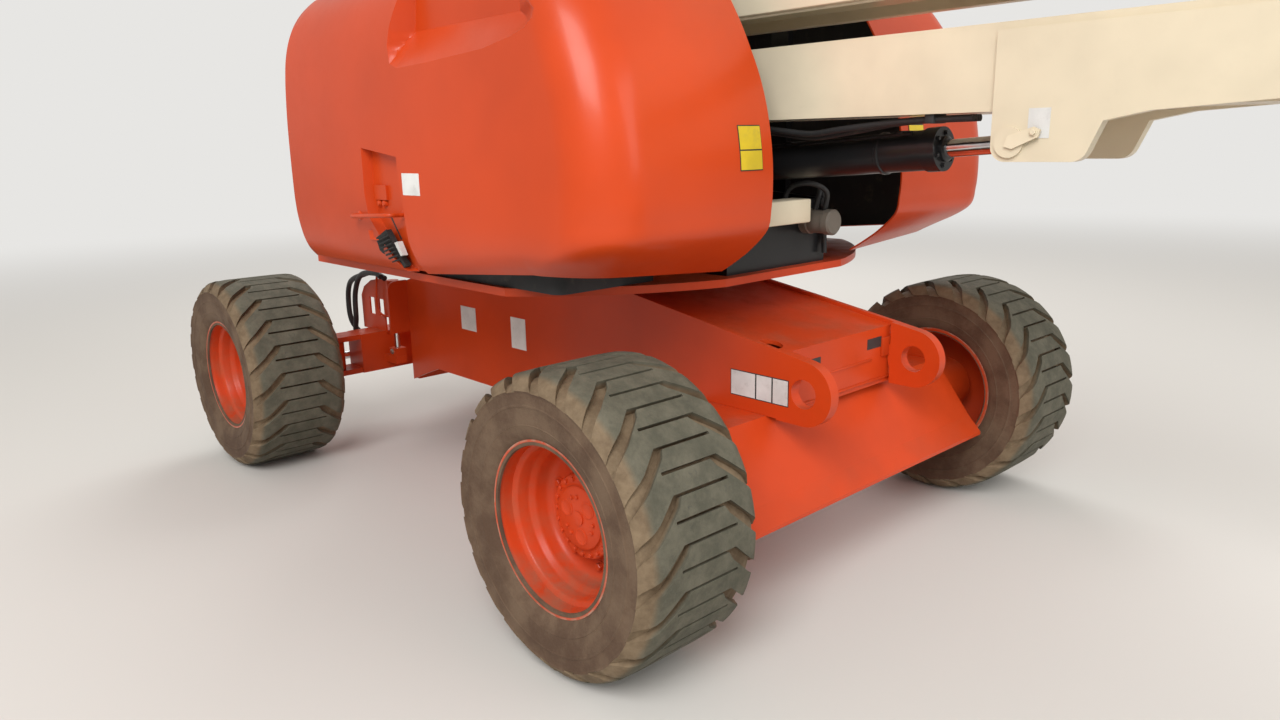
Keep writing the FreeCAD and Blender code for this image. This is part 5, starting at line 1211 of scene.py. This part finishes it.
# The console's sloping top runs from high to low; the switches' turned forms
CONSOLE_HIGH = Vector((3.986, 0.0, 1.49))
CONSOLE_LOW = Vector((4.156, 0.0, 1.41))
LEVER = ((0.03, 0.0), (0.028, 0.01), (0.02, 0.022), (0.01, 0.03), (0.0075, 0.05), (0.0075, 0.085),
         (0.014, 0.092), (0.017, 0.12), (0.014, 0.14), (0.0, 0.144))
TOGGLE = ((0.008, 0.0), (0.008, 0.004), (0.0035, 0.006), (0.0045, 0.022), (0.0, 0.024))
STOP_KNOB = ((0.012, 0.0), (0.012, 0.016), (0.022, 0.018), (0.022, 0.026), (0.018, 0.03), (0.0, 0.032))
GATE_KNOB = ((0.007, 0.0), (0.007, 0.035), (0.011, 0.04), (0.011, 0.048), (0.0, 0.05))
RING_RADIUS = 0.03


def make_platform_details():
    """Controls on the console's sloping top, the foot switch and the gate's latch."""
    along = (CONSOLE_LOW - CONSOLE_HIGH).normalized()
    out = Vector((-along.z, 0, along.x))

    def on_console(a, b, lift=0.0):
        return CONSOLE_HIGH + along * b + out * lift + Vector((0, a, 0))

    detail("console_panel", "label", "platform",
           *pads(on_console, 0.0022, (-0.195, 0.014, 0.195, 0.174), out=-0.001))
    detail("console_levers", "plastic", "platform",
           *[(add_turned, LEVER, 20, on_console(y, 0.095), out) for y in (-0.13, 0.13)],
           *[(add_turned, TOGGLE, 12, on_console(y, 0.05), out + along * 0.3)
             for y in (-0.07, -0.045, -0.02, 0.02, 0.045, 0.07)])
    detail("console_stop", "red", "platform", (add_turned, STOP_KNOB, 24, on_console(0.0, 0.125), out))
    detail("foot_switch", "plastic", "platform",
           (add_block, (4.18, -0.09, 0.48), (4.35, 0.09, 0.495), 0.003),
           (add_block, (4.185, -0.085, 0.495), (4.345, -0.075, 0.59), 0.002),
           (add_block, (4.185, 0.075, 0.495), (4.345, 0.085, 0.59), 0.002),
           (add_block, (4.185, -0.085, 0.582), (4.3, 0.085, 0.592), 0.002),
           (add_block, (4.2, -0.055, 0.5), (4.33, 0.055, 0.516), 0.003,
            Matrix.Rotation(math.radians(-10), 3, "Y")))
    detail("gate_latch", "zinc", "gate", (add_block, (4.7, -0.905, 1.18), (4.735, -0.883, 1.26), 0.003),
           (add_turned, GATE_KNOB, 14, (4.718, -0.894, 1.26), UP))
    ring = [(RING_RADIUS * math.cos(math.radians(angle)), RING_RADIUS * math.sin(math.radians(angle)))
            for angle in range(0, 361, 20)]
    detail("lanyard_rings", "yellow", "platform",
           *[(add_tube, [(3.972 + x, y, 0.955 + z) for x, z in ring], 0.005, 8) for y in (-0.5, 0.5)])


# Stage and light

FLOOR_RADIUS = 60.0
FLOOR_COLOUR = (0.62, 0.6, 0.57)
BACKDROP = (0.8, 0.79, 0.77)
WORLD_COLOUR = (1.0, 0.97, 0.92)
WORLD_STRENGTH = 0.62
# The floor turns into the backdrop between these distances
FLOOR_FADE = (4.5, 16.0)
# Lamps: name, place, the point it faces, power
LAMPS = (("key", (3.5, -6.5, 7.0), (0.0, 0.0, 0.8), 780), ("fill", (6.5, 2.0, 4.0), (0.5, 0.0, 1.0), 210),
         ("back", (-6.0, 4.5, 6.0), (0.0, 0.0, 1.0), 300))
LAMP_SIZE = 5.0


def add_stage():
    bm = bmesh.new()
    bmesh.ops.create_circle(bm, cap_ends=True, segments=96, radius=FLOOR_RADIUS)
    mesh = mesh_of("floor", bm)
    floor = bpy.data.objects.new("floor", mesh)
    bpy.context.scene.collection.objects.link(floor)
    make = Finish("floor_pale")
    make.give(Base_Color=FLOOR_COLOUR, Roughness=0.9)
    far = make.ramp(make.length(make.add("NewGeometry").outputs["Position"]), *FLOOR_FADE)
    glow = make.add("Emission", Color=(*BACKDROP, 1), Strength=1.0)
    seen = make.times(far, make.add("LightPath").outputs["Is Camera Ray"])
    blend = make.add("MixShader")
    for socket, value in zip(blend.inputs, (seen, make.shader.outputs[0], glow.outputs[0])):
        make.fill(socket, value)
    make.fill(make.tree.nodes["Material Output"].inputs["Surface"], blend.outputs[0])
    mesh.materials.append(make.material)


def add_lights():
    world = bpy.data.worlds.new("studio")
    bpy.context.scene.world = world
    world.use_nodes = True
    make = Nodes(world.node_tree)
    background = world.node_tree.nodes["Background"]
    path = make.add("LightPath").outputs
    seen = make.join("MAXIMUM", path["Is Camera Ray"], path["Is Transmission Ray"])
    make.fill(background.inputs["Color"], make.mix(seen, WORLD_COLOUR, BACKDROP))
    make.fill(background.inputs["Strength"], make.ramp(seen, 0.0, 1.0, WORLD_STRENGTH, 1.0))
    for name, place, target, power in LAMPS:
        data = bpy.data.lights.new(name, "AREA")
        data.size = LAMP_SIZE
        data.energy = power
        lamp = bpy.data.objects.new(name, data)
        bpy.context.scene.collection.objects.link(lamp)
        lamp.location = place
        lamp.rotation_euler = (Vector(target) - Vector(place)).to_track_quat("-Z", "Y").to_euler()


bpy.context.scene.view_settings.view_transform = "Standard"
random.seed(SEED)
add_camera()
add_stage()
add_lights()
finish_nodes()
make_wheels()
make_hoods()
make_latches()
make_labels()
make_chassis_details()
make_steering_end()
make_tower_details()
make_boom_details()
make_platform_details()
